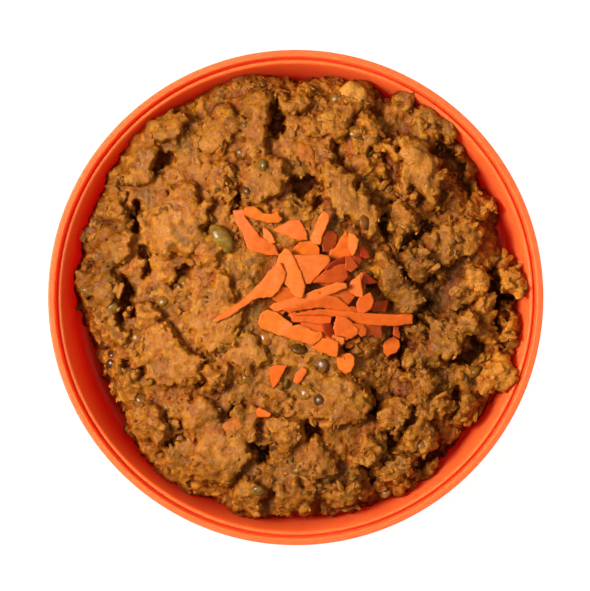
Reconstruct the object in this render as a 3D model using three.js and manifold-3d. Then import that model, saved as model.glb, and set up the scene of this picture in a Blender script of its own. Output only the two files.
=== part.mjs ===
// A round two-tier bowl, heaped with a thick crumbly stew and topped with grated carrot.
// Millimetres, +Z up, origin on the table under the bowl's centre, +Y away from the viewer.
import * as THREE from "three";
import { mergeVertices } from "three/addons/utils/BufferGeometryUtils.js";
import Module from "manifold-3d";

const wasm = await Module();
wasm.setup();

// ---------------------------------------------------------------- driving dimensions

const BOWL = {
  rimRadius: 90, // outer edge of the lip
  height: 50, // table to the top of the lip
  lipWidth: 2.2, // flat top of the lip
  lipDepth: 5.2, // how thick the lip is, seen from the side
  stepWidth: 1.6, // slope from the lip down to the shelf that a lid would sit on
  stepDrop: 3.4,
  shelfWidth: 1, // flat part of the shelf
  shoulder: 0.9, // rounding from the shelf into the upper wall
  ledgeHeight: 28, // the narrow ledge that parts the two tiers
  ledgeRadius: 80.7,
  ledgeWidth: 2.2,
  floorRadius: 57, // flat floor inside, before its fillet
  floorFillet: 9,
  floorHeight: 4,
  wall: 2.2,
  footRadius: 58,
  footWidth: 5,
  footHeight: 1.2,
  segments: 56,
};

const STEW = {
  crown: 5.5, // how far the middle of the heap stands above the lip
  domeDrop: 9, // how much lower the heap is at its shoulder
  flankWidth: 15, // the heap's sloping side
  flankPower: 2.2, // how much steeper the side gets towards the wall
  gap: 0.5, // clearance to the bowl
  rings: 27, // rings of the surface grid
  overrun: 2.5, // how far the grid runs on past the wall
  roomSides: 40, // sides of the hidden underside
  wander: 2.4, // how far the outlines of lumps wander
  wanderPitch: 8,
  clods: [
    { pitch: 11, relief: 2.6, seed: 3 },
    { pitch: 5.5, relief: 1.6, seed: 9 },
  ],
  lumpRelief: 1.25,
  lumpRound: 0.6, // below 1, lumps have full sides
  hollowRound: 0.8,
};

const GARNISH = {
  gap: 0.4, // clearance to the stew under it
  thickness: 1.8, // of a shred
  sink: 0.4, // how far each shred beds into those below
  core: [13, 11, 3], // half sizes of the pile's hidden middle
  coreTurn: -35,
  middle: [4, 4],
};

// Radius at which the heap meets the bowl, every 10 degrees from +X towards +Y.
const EDGE_RADIUS = [
  83.3, 81.3, 77.3, 78.6, 83.3, 85, 85, 82, 81.6, 78.8, 83, 82.4, //
  81.4, 83.1, 82.8, 82.8, 81.6, 78.2, 80.5, 76, 75.2, 74.8, 77, 77, //
  77.4, 78.8, 82.5, 80, 80, 80.7, 83.3, 80, 78.7, 81.2, 85, 82.5,
];

// Big lumps and ridges of the mash: x, y, half length, half width, angle in degrees, height.
const LUMPS = [
  [-50, 57, 11, 7, 35, 3],
  [-47, 28, 13, 8, 80, 2.5],
  [-31, 22, 8, 7, 0, 2],
  [-66, 42, 7, 5, 40, 2],
  [-66, 27, 7, 5, 20, 2.5],
  [-73, 5, 8, 7, 90, 3],
  [-68, -8, 8, 5, -60, 2.5],
  [-58, -10, 7, 4, -70, 1.5],
  [-46, -20, 12, 9, -45, 2.5],
  [-53, -44, 7, 6, 45, 3],
  [-36, -42, 9, 7, -30, 2],
  [-27, -61, 9, 8, 90, 2.5],
  [-20, -42, 8, 5, 20, 2],
  [-13, 42, 9, 6, 75, 3],
  [-22, 62, 11, 8, 80, 2],
  [-1, 71, 8, 5, 30, 2.5],
  [20, 71, 9, 7, 70, 3],
  [24, 35, 17, 6, -62, 4],
  [40, 46, 15, 5.5, -60, 4.5],
  [48, 53, 12, 7, -70, 3.5],
  [43, 65, 8, 5, 10, 3],
  [27, 60, 9, 5, 65, 2],
  [39, 27, 9, 5, -75, 2.5],
  [64, 24, 7, 5, 10, 3],
  [56, 18, 8, 4, -10, 2.5],
  [45, 12, 6, 6, 0, 3],
  [33, 10, 9, 5, -60, 2.5],
  [64, 4, 8, 7, 0, 2.5],
  [40, 1, 9, 4.5, -50, 2.5],
  [61, -10, 8, 6, -20, 2.5],
  [52, -17, 11, 4, 85, 3],
  [46, -20, 5.5, 5.5, 0, 2.5],
  [48, -31, 8, 4, -20, 2.5],
  [50, -39, 7, 5, -20, 2.5],
  [35, -42, 6, 5.5, 0, 3],
  [18, -35, 12, 9, 0, 2],
  [25, -57, 7, 6, 30, 2.5],
  [42, -53, 8, 4, -10, 2],
  [38, -64, 9, 5, 30, 2],
  [17, -73, 6, 5, 0, 2],
  [0, -73, 8, 5, 0, 2],
  [-16, -74, 8, 6, 0, 2.5],
  [75, -27, 8, 8, 0, 3.5],
  [79, 5, 6, 5, 90, 2],
  [78, -9, 5, 5, 0, 2],
];

// Hollows and gullies between them: x, y, half length, half width, angle in degrees, depth.
const HOLLOWS = [
  [-5, 63, 4.5, 4, 60, 7],
  [-47, 49, 6.5, 2.8, 40, 5],
  [-57.5, 28, 7.5, 2.2, 83, 7],
  [3, 41, 6, 4, -35, 7],
  [34, 46, 11, 3.4, -62, 8],
  [-54.5, 12, 5, 1.8, 75, 5],
  [-42, 8, 5, 2.6, 60, 5],
  [-62, -2, 10, 2.2, 86, 6],
  [-15, -56, 6, 2.8, -40, 8],
  [7, -49, 5, 2.8, 10, 7],
  [29, -38, 7, 2.6, 78, 7],
  [36, -52, 5, 3, 30, 7],
  [40, -22, 8, 2.4, -60, 7],
  [58, -36, 4, 2.5, 70, 6],
  [63, -22, 6, 3, 40, 7],
  [46, -6, 5, 2.5, 60, 6],
  [42, 19, 6, 2.2, 10, 6],
  [38, 11, 6, 2, 85, 5],
  [53, 38, 6, 1.8, 80, 6],
  [46, 27, 6, 2, -35, 5],
  [33.5, 27, 8, 1.8, 85, 5],
  [73, 0, 14, 3, 90, 12],
  [27, 6, 5, 3, 45, 4],
  [58, 49, 14, 4, -60, 6],
  [-22, 38, 8, 2.4, -55, 4],
  [50, -59, 9, 4, 45, 6],
];

// Pieces that stand out of the mash: x, y, half length, half width, half thickness, angle.
const CHUNKS = [
  [20, 72, 8, 6, 4, 65], // pale potato
  [35, -41, 5, 4.5, 4, 0], // pale potato
  [4, 51, 5, 3.5, 3, -75], // cooked carrot
  [-61, 13, 4, 3.5, 3, 60], // cooked carrot
  [46, -20, 5, 5, 4, 0], // round of potato
  [45, 12, 5.5, 5, 4, 20],
  [75, -28, 6, 5.5, 4, 0],
];

// Whole lentils and peas that show best: x, y, half width.
const LENTILS = [
  [-9, 73, 3],
  [-12.5, 47.5, 2.5],
  [-27, 22, 4],
  [-20, 52, 2.5],
  [-66.5, -3.5, 2.4],
  [-71.5, -17, 2.4],
  [-69, -25.5, 2.6],
  [-57, -14, 3],
  [-48.5, -1, 2.6],
  [-41, 6, 2.4],
  [-17, -30, 3.2],
  [-11, -14.5, 3],
  [1, -18, 3.2],
  [8.5, -24.5, 3.4],
  [27, -20, 2.8],
  [39, -26, 2.8],
  [-56, -37, 2.6],
  [-43, -51.5, 2.6],
  [3.5, -34, 3],
  [8, -37, 2.4],
  [-3, -31, 2.6],
  [0, -62, 2.4],
  [28, -65, 2.6],
  [33, -71.5, 2.6],
  [25, 27, 3],
  [66, -27.5, 2.8],
  [80, -16.5, 2.2],
  [-14, -70, 2.6],
];

// Bits of raw carrot that fell beside the pile: x, y, half length, half width, angle.
const LOOSE_CARROT = [
  [-8, -28, 4, 2.6, 65],
  [1.5, -28, 3.6, 1.6, 58],
  [-12.5, -41.5, 3, 1.4, -30],
];

// Grated carrot, from the bottom of the pile up: both ends x, y, x, y, then the width at the
// first end, the middle and the other end, how far it bows sideways, and its roll in degrees.
const SHREDS = [
  [27, -3, 34, -3, 4, 4.5, 4, 0, -12],
  [12.5, 24.5, 12.5, 17, 4, 5, 4, 0, 25],
  [22, 16, 24, 11.8, 3, 3.5, 1, 0, 20],
  [-11.5, 24.8, -7.3, 18.6, 1.5, 2.6, 1.8, 0, 0],
  [22.5, 7.2, 30.5, 5, 3.5, 2.5, 0.6, 0, -20],
  [24, -12, 31, -12.3, 3.5, 3.5, 3, 0, 0],
  [36.6, -9.5, 37, -15, 1.5, 2, 1.5, 0, 0],
  [9.5, -10.5, 18.5, -16.4, 3, 4, 1.5, 0, 15],
  [20, -10.5, 25, -12.5, 3.5, 3.5, 2, 0, 0],
  [-8.5, 1, 0.5, -1, 3, 4, 3, 0, 0],
  [8, 6.8, 18, 9, 1.5, 4, 5.5, 0, 18],
  [9, 12.3, 21.5, 13.8, 2, 3, 2.4, 0, 12],
  [18.6, 15.6, 20.5, 9.3, 3, 4.3, 3, 0, 0],
  [22.4, 19.5, 26.3, 13.8, 3.5, 4, 2.5, 0, 0],
  [6, -17.2, 15.3, -19.4, 3.5, 4.8, 4.5, 0, 0],
  [18, -18.6, 18.3, -27.2, 4, 6.2, 4, 0, 0],
  [33.2, -20.6, 36.2, -13.6, 3.5, 5.2, 3.5, 0, 0],
  [23.6, 8.6, 22.2, -0.8, 1, 4, 5, 0, -12],
  [22.8, -5, 27, 1.6, 4.5, 5.6, 3.5, 0, 0],
  [-20.5, 31.5, -4.3, 26.2, 3, 4.2, 1.8, 0.6, 0],
  [-21.3, 31.5, -3.6, 15.4, 3.6, 5.2, 1.2, -3, 0],
  [12.5, 15.5, 22, 22.5, 4.5, 5, 4, 0, 0],
  [-13.6, -8.4, -1, -11, 4, 7.2, 4, 0, 0],
  [-1.2, -7.8, 13, -8.2, 2.2, 2.8, 2, 0, 0],
  [-3.5, -12, 9.6, -14.6, 3, 5.4, 3.6, 0.8, 0],
  [14.8, -8, 21, -14.4, 4, 5.2, 3.5, 0, 0],
  [17.8, -18, 23.2, -14.2, 2.8, 3, 2.8, 0, 0],
  [-1, 17.7, 8.5, 18.2, 4, 4.4, 3.5, 0, 0],
  [-8, 24.3, 5, 24.2, 1.5, 5, 7, 0, 0],
  [6.6, 20.4, 11, 31.2, 3.4, 4.2, 2.8, 0, 0],
  [0, -5.6, 42, -8.2, 1.6, 3.4, 3.8, 0.8, 0],
  [1, -4.2, 21.8, -6, 2, 5, 1.2, 2, 0],
  [5, 4.2, 10, 3.6, 2.5, 2, 1, 0, 0],
  [-3.5, 8.5, -29.5, -8, 7.5, 5.2, 0.8, 1.4, 0],
  [-2, 17, 1, 0, 7, 9.5, 4, 0, 0],
  [-5, 9.5, 12.5, 14, 7, 9, 3, 0, 0],
  [-9, -3.6, 18.3, 4.6, 2, 3.2, 3, 0.5, 0],
];

// ---------------------------------------------------------------- helpers

const radians = THREE.MathUtils.degToRad;

// A repeatable random number from 0 to 1 for a cell of a grid.
function hash(i, j, k) {
  const s = Math.sin(i * 127.1 + j * 311.7 + k * 74.7) * 43758.5453;
  return s - Math.floor(s);
}

// Smooth noise from -1 to 1 over a grid of the given pitch.
function drift(x, y, pitch, seed) {
  const i = Math.floor(x / pitch);
  const j = Math.floor(y / pitch);
  const u = THREE.MathUtils.smoothstep(x / pitch - i, 0, 1);
  const v = THREE.MathUtils.smoothstep(y / pitch - j, 0, 1);
  const near = THREE.MathUtils.lerp(hash(i, j, seed), hash(i + 1, j, seed), u);
  const far = THREE.MathUtils.lerp(hash(i, j + 1, seed), hash(i + 1, j + 1, seed), u);
  return 2 * THREE.MathUtils.lerp(near, far, v) - 1;
}

// Height from 0 to 1 of a bed of round clods, with creases where they meet.
function clods(x, y, size, seed) {
  const i = Math.floor(x / size);
  const j = Math.floor(y / size);
  let best = 0;
  for (let a = i - 1; a <= i + 1; a++)
    for (let b = j - 1; b <= j + 1; b++) {
      const dx = x / size - (a + hash(a, b, seed));
      const dy = y / size - (b + hash(a, b, seed + 1));
      best = Math.max(best, 1 - dx * dx - dy * dy);
    }
  return best;
}

// How far inside an oval feature a point lies: 1 at its middle, 0 from its edge outwards.
function inside(x, y, [cx, cy, halfLength, halfWidth, angle]) {
  const c = Math.cos(radians(angle));
  const s = Math.sin(radians(angle));
  const u = ((x - cx) * c + (y - cy) * s) / halfLength;
  const v = ((y - cy) * c - (x - cx) * s) / halfWidth;
  return Math.max(0, 1 - u * u - v * v);
}

// A geometry as a manifold-3d solid.
function toSolid(geometry) {
  const bare = geometry.index ? geometry.toNonIndexed() : geometry.clone();
  bare.deleteAttribute("normal");
  bare.deleteAttribute("uv");
  const merged = mergeVertices(bare, 1e-3);
  return new wasm.Manifold(
    new wasm.Mesh({
      numProp: 3,
      vertProperties: new Float32Array(merged.attributes.position.array),
      triVerts: new Uint32Array(merged.index.array),
    }),
  );
}

function toGeometry(solid) {
  const mesh = solid.getMesh();
  const geometry = new THREE.BufferGeometry();
  geometry.setAttribute(
    "position",
    new THREE.BufferAttribute(new Float32Array(mesh.vertProperties), 3),
  );
  geometry.setIndex(new THREE.BufferAttribute(new Uint32Array(mesh.triVerts), 1));
  geometry.computeVertexNormals();
  return geometry;
}

// The largest body of a solid, without loose scraps or sealed hollows.
function mainBody(solid) {
  return solid.decompose().reduce((a, b) => (b.volume() > a.volume() ? b : a));
}

function joined(solids) {
  return mainBody(solids.reduce((all, next) => all.add(next)));
}

// ---------------------------------------------------------------- bowl

// Radius at which the upper wall starts, below the shelf.
const WALL_TOP = BOWL.rimRadius - BOWL.lipWidth - BOWL.stepWidth - BOWL.shelfWidth - BOWL.shoulder;

// Inside from the lip's inner edge down to the middle of the floor, as x and z.
function innerProfile() {
  const b = BOWL;
  const lipEdge = b.rimRadius - b.lipWidth;
  const shelf = b.height - b.stepDrop;
  const soften = 0.4;
  const path = new THREE.Path();
  path.moveTo(lipEdge + soften, b.height);
  path.quadraticCurveTo(lipEdge, b.height, lipEdge - 0.2, b.height - soften);
  path.lineTo(lipEdge - b.stepWidth + soften / 2, shelf + soften);
  path.lineTo(lipEdge - b.stepWidth, shelf);
  path.lineTo(WALL_TOP + b.shoulder, shelf);
  path.quadraticCurveTo(WALL_TOP, shelf, WALL_TOP, shelf - b.shoulder);
  path.lineTo(b.ledgeRadius, b.ledgeHeight + soften);
  path.lineTo(b.ledgeRadius - b.ledgeWidth + soften, b.ledgeHeight - soften);
  path.lineTo(b.ledgeRadius - b.ledgeWidth - soften, b.ledgeHeight - 3 * soften);
  path.lineTo(b.floorRadius + b.floorFillet, b.floorHeight + 0.7 * b.floorFillet);
  path.quadraticCurveTo(b.floorRadius + 4, b.floorHeight, b.floorRadius, b.floorHeight);
  path.lineTo(0, b.floorHeight);
  return path.getPoints(3);
}

// Outside from the middle of the base up to the lip's inner edge.
function outerProfile() {
  const b = BOWL;
  const under = b.height - b.lipDepth;
  const skirt = b.rimRadius - 1;
  const soften = 0.8;
  const path = new THREE.Path();
  path.moveTo(0, b.footHeight);
  path.lineTo(b.footRadius - b.footWidth, b.footHeight);
  path.lineTo(b.footRadius - b.footWidth + soften, 0);
  path.lineTo(b.footRadius, 0);
  path.lineTo(b.floorRadius + b.floorFillet + 1.6, b.floorHeight + 0.3 * b.floorFillet);
  path.lineTo(b.ledgeRadius + 0.2, b.ledgeHeight - 4.2);
  path.lineTo(b.ledgeRadius + b.wall, b.ledgeHeight - 1.6);
  path.lineTo(WALL_TOP + b.wall, under - soften);
  path.lineTo(WALL_TOP + b.wall + soften, under);
  path.lineTo(skirt - soften / 2, under);
  path.lineTo(skirt, under + soften / 2);
  path.lineTo(b.rimRadius, b.height - 1.4 * soften);
  path.quadraticCurveTo(b.rimRadius, b.height, b.rimRadius - soften, b.height);
  return path.getPoints(3);
}

// Turns a profile of x and z about the bowl's axis.
function turned(profile, segments) {
  return new THREE.LatheGeometry(profile, segments).rotateX(Math.PI / 2);
}

function bowlGeometry() {
  return turned([...outerProfile(), ...innerProfile()], BOWL.segments);
}

const INSIDE = innerProfile();

// Height of the bowl's inner surface at a radius, and of its wall's line beyond the rim.
function wallHeight(radius) {
  for (let i = 1; i < INSIDE.length; i++) {
    const outer = INSIDE[i - 1];
    const inner = INSIDE[i];
    if (radius >= inner.x && outer.x > inner.x)
      return inner.y + ((radius - inner.x) * (outer.y - inner.y)) / (outer.x - inner.x);
  }
  return BOWL.floorHeight;
}

// The room inside the bowl, a little clear of it all round and open above the lip.
function roomSolid() {
  const b = BOWL;
  const gap = STEW.gap;
  const open = b.height + 20;
  const profile = [
    [0, b.floorHeight + gap],
    [b.floorRadius, b.floorHeight + gap],
    [b.floorRadius + b.floorFillet - gap, b.floorHeight + 0.7 * b.floorFillet + gap],
    [b.ledgeRadius - b.ledgeWidth - 2 * gap, b.ledgeHeight - 1],
    [b.ledgeRadius - 1.5 * gap, b.ledgeHeight + 2 * gap],
    [WALL_TOP - gap, b.height - b.stepDrop - b.shoulder],
    [WALL_TOP + b.shoulder, b.height - b.stepDrop + 2 * gap],
    [WALL_TOP + b.shoulder, open],
    [0, open],
  ];
  return toSolid(turned(profile.map(([x, z]) => new THREE.Vector2(x, z)), STEW.roomSides));
}

// ---------------------------------------------------------------- stew

function edgeRadius(angle) {
  const n = EDGE_RADIUS.length;
  const turn = ((angle / (2 * Math.PI)) * n + n) % n;
  const i = Math.floor(turn);
  const share = (1 - Math.cos((turn - i) * Math.PI)) / 2;
  return EDGE_RADIUS[i % n] * (1 - share) + EDGE_RADIUS[(i + 1) % n] * share;
}

// The heap without its lumps: a low dome whose flank runs down to the bowl's wall.
function heapHeight(x, y) {
  const radius = Math.hypot(x, y);
  const edge = edgeRadius(Math.atan2(y, x));
  const dome = BOWL.height + STEW.crown - STEW.domeDrop * (radius / BOWL.ledgeRadius) ** 2;
  const down = Math.max(0, 1 - (edge - radius) / STEW.flankWidth);
  return dome - (dome - wallHeight(edge)) * down ** STEW.flankPower;
}

function lumpHeight(x, y) {
  const rise = (lump) => STEW.lumpRelief * lump[5] * inside(x, y, lump) ** STEW.lumpRound;
  return LUMPS.reduce((z, lump) => z + rise(lump), 0);
}

function hollowDepth(x, y) {
  return HOLLOWS.reduce((z, pit) => z + pit[5] * inside(x, y, pit) ** STEW.hollowRound, 0);
}

function clodHeight(x, y) {
  return STEW.clods.reduce(
    (z, { pitch, relief, seed }) => z + relief * (clods(x, y, pitch, seed) - 0.7),
    0,
  );
}

function stewHeight(x, y) {
  const wx = x + STEW.wander * drift(x, y, STEW.wanderPitch, 1);
  const wy = y + STEW.wander * drift(x, y, STEW.wanderPitch, 2);
  return heapHeight(x, y) + lumpHeight(wx, wy) - hollowDepth(wx, wy) + clodHeight(wx, wy);
}

// Round grid whose ring k has 6k points, so that its triangles are all about one size.
function ringStart(k) {
  return k === 0 ? 0 : 1 + 3 * k * (k - 1);
}

// The heap as a column that stands through the bowl's floor and wall.
function columnSolid() {
  const rings = STEW.rings;
  const rimCount = 6 * rings;
  const points = [0, 0, stewHeight(0, 0)];
  const triangles = [];
  for (let k = 1; k <= rings; k++)
    for (let i = 0; i < 6 * k; i++) {
      const angle = (2 * Math.PI * i) / (6 * k);
      const radius = ((edgeRadius(angle) + STEW.overrun) * k) / rings;
      const x = radius * Math.cos(angle);
      const y = radius * Math.sin(angle);
      points.push(x, y, stewHeight(x, y));
    }
  for (let k = 1; k <= rings; k++)
    for (let side = 0; side < 6; side++)
      for (let i = 0; i < k; i++) {
        const outer = (n) => ringStart(k) + ((side * k + n) % (6 * k));
        const inner = (n) =>
          k === 1 ? 0 : ringStart(k - 1) + ((side * (k - 1) + n) % (6 * (k - 1)));
        triangles.push(inner(i), outer(i), outer(i + 1));
        if (i < k - 1) triangles.push(inner(i), outer(i + 1), inner(i + 1));
      }
  const bottom = points.length / 3;
  points.push(0, 0, 0);
  for (let i = 0; i < rimCount; i++) {
    const j = (i + 1) % rimCount;
    const rim = ringStart(rings);
    points.push(points[3 * (rim + i)], points[3 * (rim + i) + 1], 0);
    triangles.push(rim + i, bottom + 1 + i, bottom + 1 + j);
    triangles.push(rim + i, bottom + 1 + j, rim + j);
    triangles.push(bottom, bottom + 1 + j, bottom + 1 + i);
  }
  const geometry = new THREE.BufferGeometry();
  geometry.setAttribute("position", new THREE.BufferAttribute(new Float32Array(points), 3));
  geometry.setIndex(triangles);
  return toSolid(geometry);
}

// A lumpy ball with few sides, squashed to its half sizes and set into the stew's surface.
function ovalSolid(x, y, halfLength, halfWidth, halfThickness, angle, sunk, detail) {
  const ball = new THREE.IcosahedronGeometry(1, detail);
  ball.scale(halfLength, halfWidth, halfThickness);
  ball.rotateZ(radians(angle));
  ball.translate(x, y, stewHeight(x, y) - sunk);
  return toSolid(ball);
}

// A strip along points with x, y and z of its middle, a width, and a roll about its length.
function stripSolid(stations, thickness, roll) {
  const points = [];
  const triangles = [];
  stations.forEach(({ x, y, z, width, turn }, n) => {
    const across = [-Math.sin(turn) * Math.cos(roll), Math.cos(turn) * Math.cos(roll), Math.sin(roll)];
    const up = [Math.sin(turn) * Math.sin(roll), -Math.cos(turn) * Math.sin(roll), Math.cos(roll)];
    for (const [a, u] of [[-1, -1], [1, -1], [1, 1], [-1, 1]]) {
      const side = (a * width) / 2;
      const rise = (u * thickness) / 2;
      points.push(x + across[0] * side + up[0] * rise);
      points.push(y + across[1] * side + up[1] * rise);
      points.push(z + across[2] * side + up[2] * rise);
    }
    if (n === 0) return;
    for (let i = 0; i < 4; i++) {
      const here = 4 * n;
      const back = here - 4;
      const next = (i + 1) % 4;
      triangles.push(back + i, back + next, here + next, back + i, here + next, here + i);
    }
  });
  const last = points.length / 3 - 4;
  triangles.push(0, 2, 1, 0, 3, 2, last, last + 1, last + 2, last, last + 2, last + 3);
  const geometry = new THREE.BufferGeometry();
  geometry.setAttribute("position", new THREE.BufferAttribute(new Float32Array(points), 3));
  geometry.setIndex(triangles);
  return toSolid(geometry);
}

function stewSolid() {
  const pieces = [columnSolid()];
  for (const [x, y, a, b, c, angle] of CHUNKS)
    pieces.push(ovalSolid(x, y, a, b, c, angle, 0.45 * c, 1));
  for (const [x, y, half] of LENTILS)
    pieces.push(ovalSolid(x, y, half, 0.9 * half, 0.55 * half, 40 * x, 0.1 * half, 0));
  for (const [x, y, halfLength, halfWidth, angle] of LOOSE_CARROT) {
    const turn = radians(angle);
    const stations = [-1, 1].map((end) => ({
      x: x + end * halfLength * Math.cos(turn),
      y: y + end * halfLength * Math.sin(turn),
      z: stewHeight(x, y) + 0.3,
      width: 2 * halfWidth,
      turn,
    }));
    pieces.push(stripSolid(stations, GARNISH.thickness + 1, 0));
  }
  return mainBody(joined(pieces).intersect(roomSolid()));
}

// ---------------------------------------------------------------- grated carrot

// What has been laid so far: its top in each millimetre cell.
class Pile {
  constructor(ground) {
    this.ground = ground;
    this.tops = new Map();
  }

  key(x, y) {
    return Math.round(x) * 1000 + Math.round(y);
  }

  top(x, y) {
    return this.tops.get(this.key(x, y)) ?? this.ground(x, y);
  }

  raise(x, y, z) {
    this.tops.set(this.key(x, y), Math.max(z, this.top(x, y)));
  }
}

// Middle line and width of a shred at a share t of its length.
function shredAt([x0, y0, x1, y1, w0, w1, w2, bow], t) {
  const length = Math.hypot(x1 - x0, y1 - y0);
  const arch = 4 * t * (1 - t);
  const slope = (4 * bow * (1 - 2 * t)) / length;
  return {
    x: x0 + (x1 - x0) * t - ((y1 - y0) / length) * bow * arch,
    y: y0 + (y1 - y0) * t + ((x1 - x0) / length) * bow * arch,
    width: w0 * (1 - t) * (1 - 2 * t) + w1 * arch + w2 * t * (2 * t - 1),
    turn: Math.atan2(y1 - y0, x1 - x0) + Math.atan(slope),
  };
}

// The line on which a stiff strip comes to rest: over all it lies on, and held either side
// of its middle. Gives the height at both ends.
function restLine(tops) {
  const last = tops.length - 1;
  const half = last / 2;
  for (let i = 0; i <= half; i++)
    for (let j = last; j >= half; j--) {
      if (i === j) continue;
      const slope = (tops[j] - tops[i]) / (j - i);
      const line = (k) => tops[i] + slope * (k - i);
      if (tops.every((top, k) => top <= line(k) + 1e-6)) return [line(0), line(last)];
    }
  const flat = Math.max(...tops);
  return [flat, flat];
}

// Lays a shred on the pile and gives it back as a solid.
function layShred(pile, shred) {
  const steps = 2 * Math.ceil(Math.hypot(shred[2] - shred[0], shred[3] - shred[1]) / 1.6);
  const half = GARNISH.thickness / 2;
  const places = Array.from({ length: steps + 1 }, (_, k) => shredAt(shred, k / steps));
  const across = ({ x, y, width, turn }, share) => [
    x - Math.sin(turn) * width * share,
    y + Math.cos(turn) * width * share,
  ];
  const rows = [-0.4, -0.2, 0, 0.2, 0.4];
  const tops = places.map((place) =>
    rows.reduce((sum, share) => sum + pile.top(...across(place, share)) / rows.length, 0),
  );
  const [first, last] = restLine(tops);
  const middle = (t) => first + (last - first) * t + half - GARNISH.sink;
  places.forEach((place, k) => {
    for (const share of rows) pile.raise(...across(place, share), middle(k / steps) + half);
  });
  const stations = [0, 0.5, 1].map((t) => ({ ...shredAt(shred, t), z: middle(t) }));
  return stripSolid(stations, GARNISH.thickness, radians(shred[8]));
}

function garnishSolid(stew) {
  const [cx, cy] = GARNISH.middle;
  const turn = radians(GARNISH.coreTurn);
  const core = new THREE.SphereGeometry(1, 14, 8);
  core.rotateX(Math.PI / 2);
  core.scale(...GARNISH.core);
  core.rotateZ(turn);
  core.translate(cx, cy, stewHeight(cx, cy));
  const pile = new Pile((x, y) => stewHeight(x, y) + GARNISH.gap);
  const pieces = [toSolid(core), ...SHREDS.map((shred) => layShred(pile, shred))];
  const all = pieces.reduce((sum, next) => sum.add(next));
  return mainBody(all.subtract(stew.translate([0, 0, GARNISH.gap])));
}

// ---------------------------------------------------------------- the object

function part(name, geometry, color, roughness) {
  const material = new THREE.MeshStandardMaterial({ color, roughness, metalness: 0 });
  const mesh = new THREE.Mesh(geometry, material);
  mesh.name = name;
  return mesh;
}

const stew = stewSolid();
const group = new THREE.Group();
group.add(part("bowl", bowlGeometry(), 0xf4622a, 0.4));
group.add(part("stew", toGeometry(stew), 0xb8742f, 0.6));
group.add(part("grated_carrot", toGeometry(garnishSolid(stew)), 0xff7a28, 0.5));

export default group;
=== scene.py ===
"""A round orange bowl heaped with thick lentil and potato stew, with grated carrot on top.

The frame gives the bowl, the stew and the carrot at their real size, and each is replaced here by a
finer piece of the same form. Lengths are millimetres until a mesh is made, and metres from there on.
"""
import math

import bmesh
import bpy
import numpy as np
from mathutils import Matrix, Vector
from mathutils.bvhtree import BVHTree


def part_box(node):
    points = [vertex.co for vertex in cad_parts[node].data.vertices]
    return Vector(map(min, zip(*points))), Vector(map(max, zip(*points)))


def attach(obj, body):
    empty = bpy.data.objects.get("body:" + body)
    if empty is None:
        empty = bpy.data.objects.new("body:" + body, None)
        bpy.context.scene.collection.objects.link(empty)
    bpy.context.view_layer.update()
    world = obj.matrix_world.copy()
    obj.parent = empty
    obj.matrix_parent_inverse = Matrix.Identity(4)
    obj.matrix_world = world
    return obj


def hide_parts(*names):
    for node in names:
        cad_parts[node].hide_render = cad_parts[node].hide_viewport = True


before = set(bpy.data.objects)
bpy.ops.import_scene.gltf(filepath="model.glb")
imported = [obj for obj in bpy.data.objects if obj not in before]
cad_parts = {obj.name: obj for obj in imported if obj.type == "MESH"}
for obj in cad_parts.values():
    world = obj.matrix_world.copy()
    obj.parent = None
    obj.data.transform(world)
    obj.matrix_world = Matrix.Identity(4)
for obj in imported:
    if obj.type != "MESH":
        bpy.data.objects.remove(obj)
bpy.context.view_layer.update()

MM = 0.001
bowl_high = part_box("bowl")[1]
PILE_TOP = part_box("grated_carrot")[1].z / MM

# ---------------------------------------------------------------- sizes of the bowl

RIM = bowl_high.x / MM  # outer radius of the lip
HEIGHT = bowl_high.z / MM
LIP_WIDTH = 2.4
LIP_DEPTH = 5.2
LIP_ROUND = 0.5  # of the lip's inner edge
LIP_EDGE = RIM - LIP_WIDTH  # inner radius of the lip
SLIT_RADIUS = RIM - 3.15  # of the slit between the lip and the wall's crest
SLIT_HEIGHT = HEIGHT - 3.5
CREST_RADIUS = RIM - 4.1
CREST_HEIGHT = HEIGHT - 2.3
SKIRT_RADIUS = RIM - 1  # of the lip's lower edge
WALL_OUTSIDE = RIM - 2.9
LEDGE_HEIGHT = 28.0
LEDGE_RADIUS = 80.7
LEDGE_WIDTH = 2.2
FLOOR_RADIUS = 57.0
FLOOR_FILLET = 9.0
FLOOR_HEIGHT = 4.0
WALL = 2.2
FOOT_RADIUS = 58.0
FOOT_WIDTH = 5.0
FOOT_HEIGHT = 1.2
BOWL_SEGMENTS = 288

# Painted shade: the wall next to the food and the lip's groove are darkened and reddened where shade falls.
PAINTED_SHADE = np.array((0.5, 0.26, 0.4))  # what it multiplies the colour by
SHADE_LOW, SHADE_HIGH = 33, 47  # heights between which it thins out
SHADE_WANDER, SHADE_PITCH = 1.5, 14  # how far those heights wander, and over what distance
SLIT_SHADE = 0.75  # share of it in the groove
WALL_NEAR, SLIT_NEAR = 0.6, 0.4  # how near a place is to the wall or the groove to be on it

# ---------------------------------------------------------------- sizes of the stew

CROWN = 5.5  # how far the middle of the heap stands above the lip
DOME_DROP = 9.0
FLANK_WIDTH = 15.0
FLANK_POWER = 2.2
STEW_GAP = 0.35  # clearance to the bowl
EDGE_HEIGHT = 40.0  # of the heap's brink, where the wall behind it is lower
BRINK_SLOPE = 4.0  # fall for each millimetre past the brink
OUTLINE_SCALE = 1.011  # the brink lies 10 mm below the lip, so it looks smaller than it is

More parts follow.
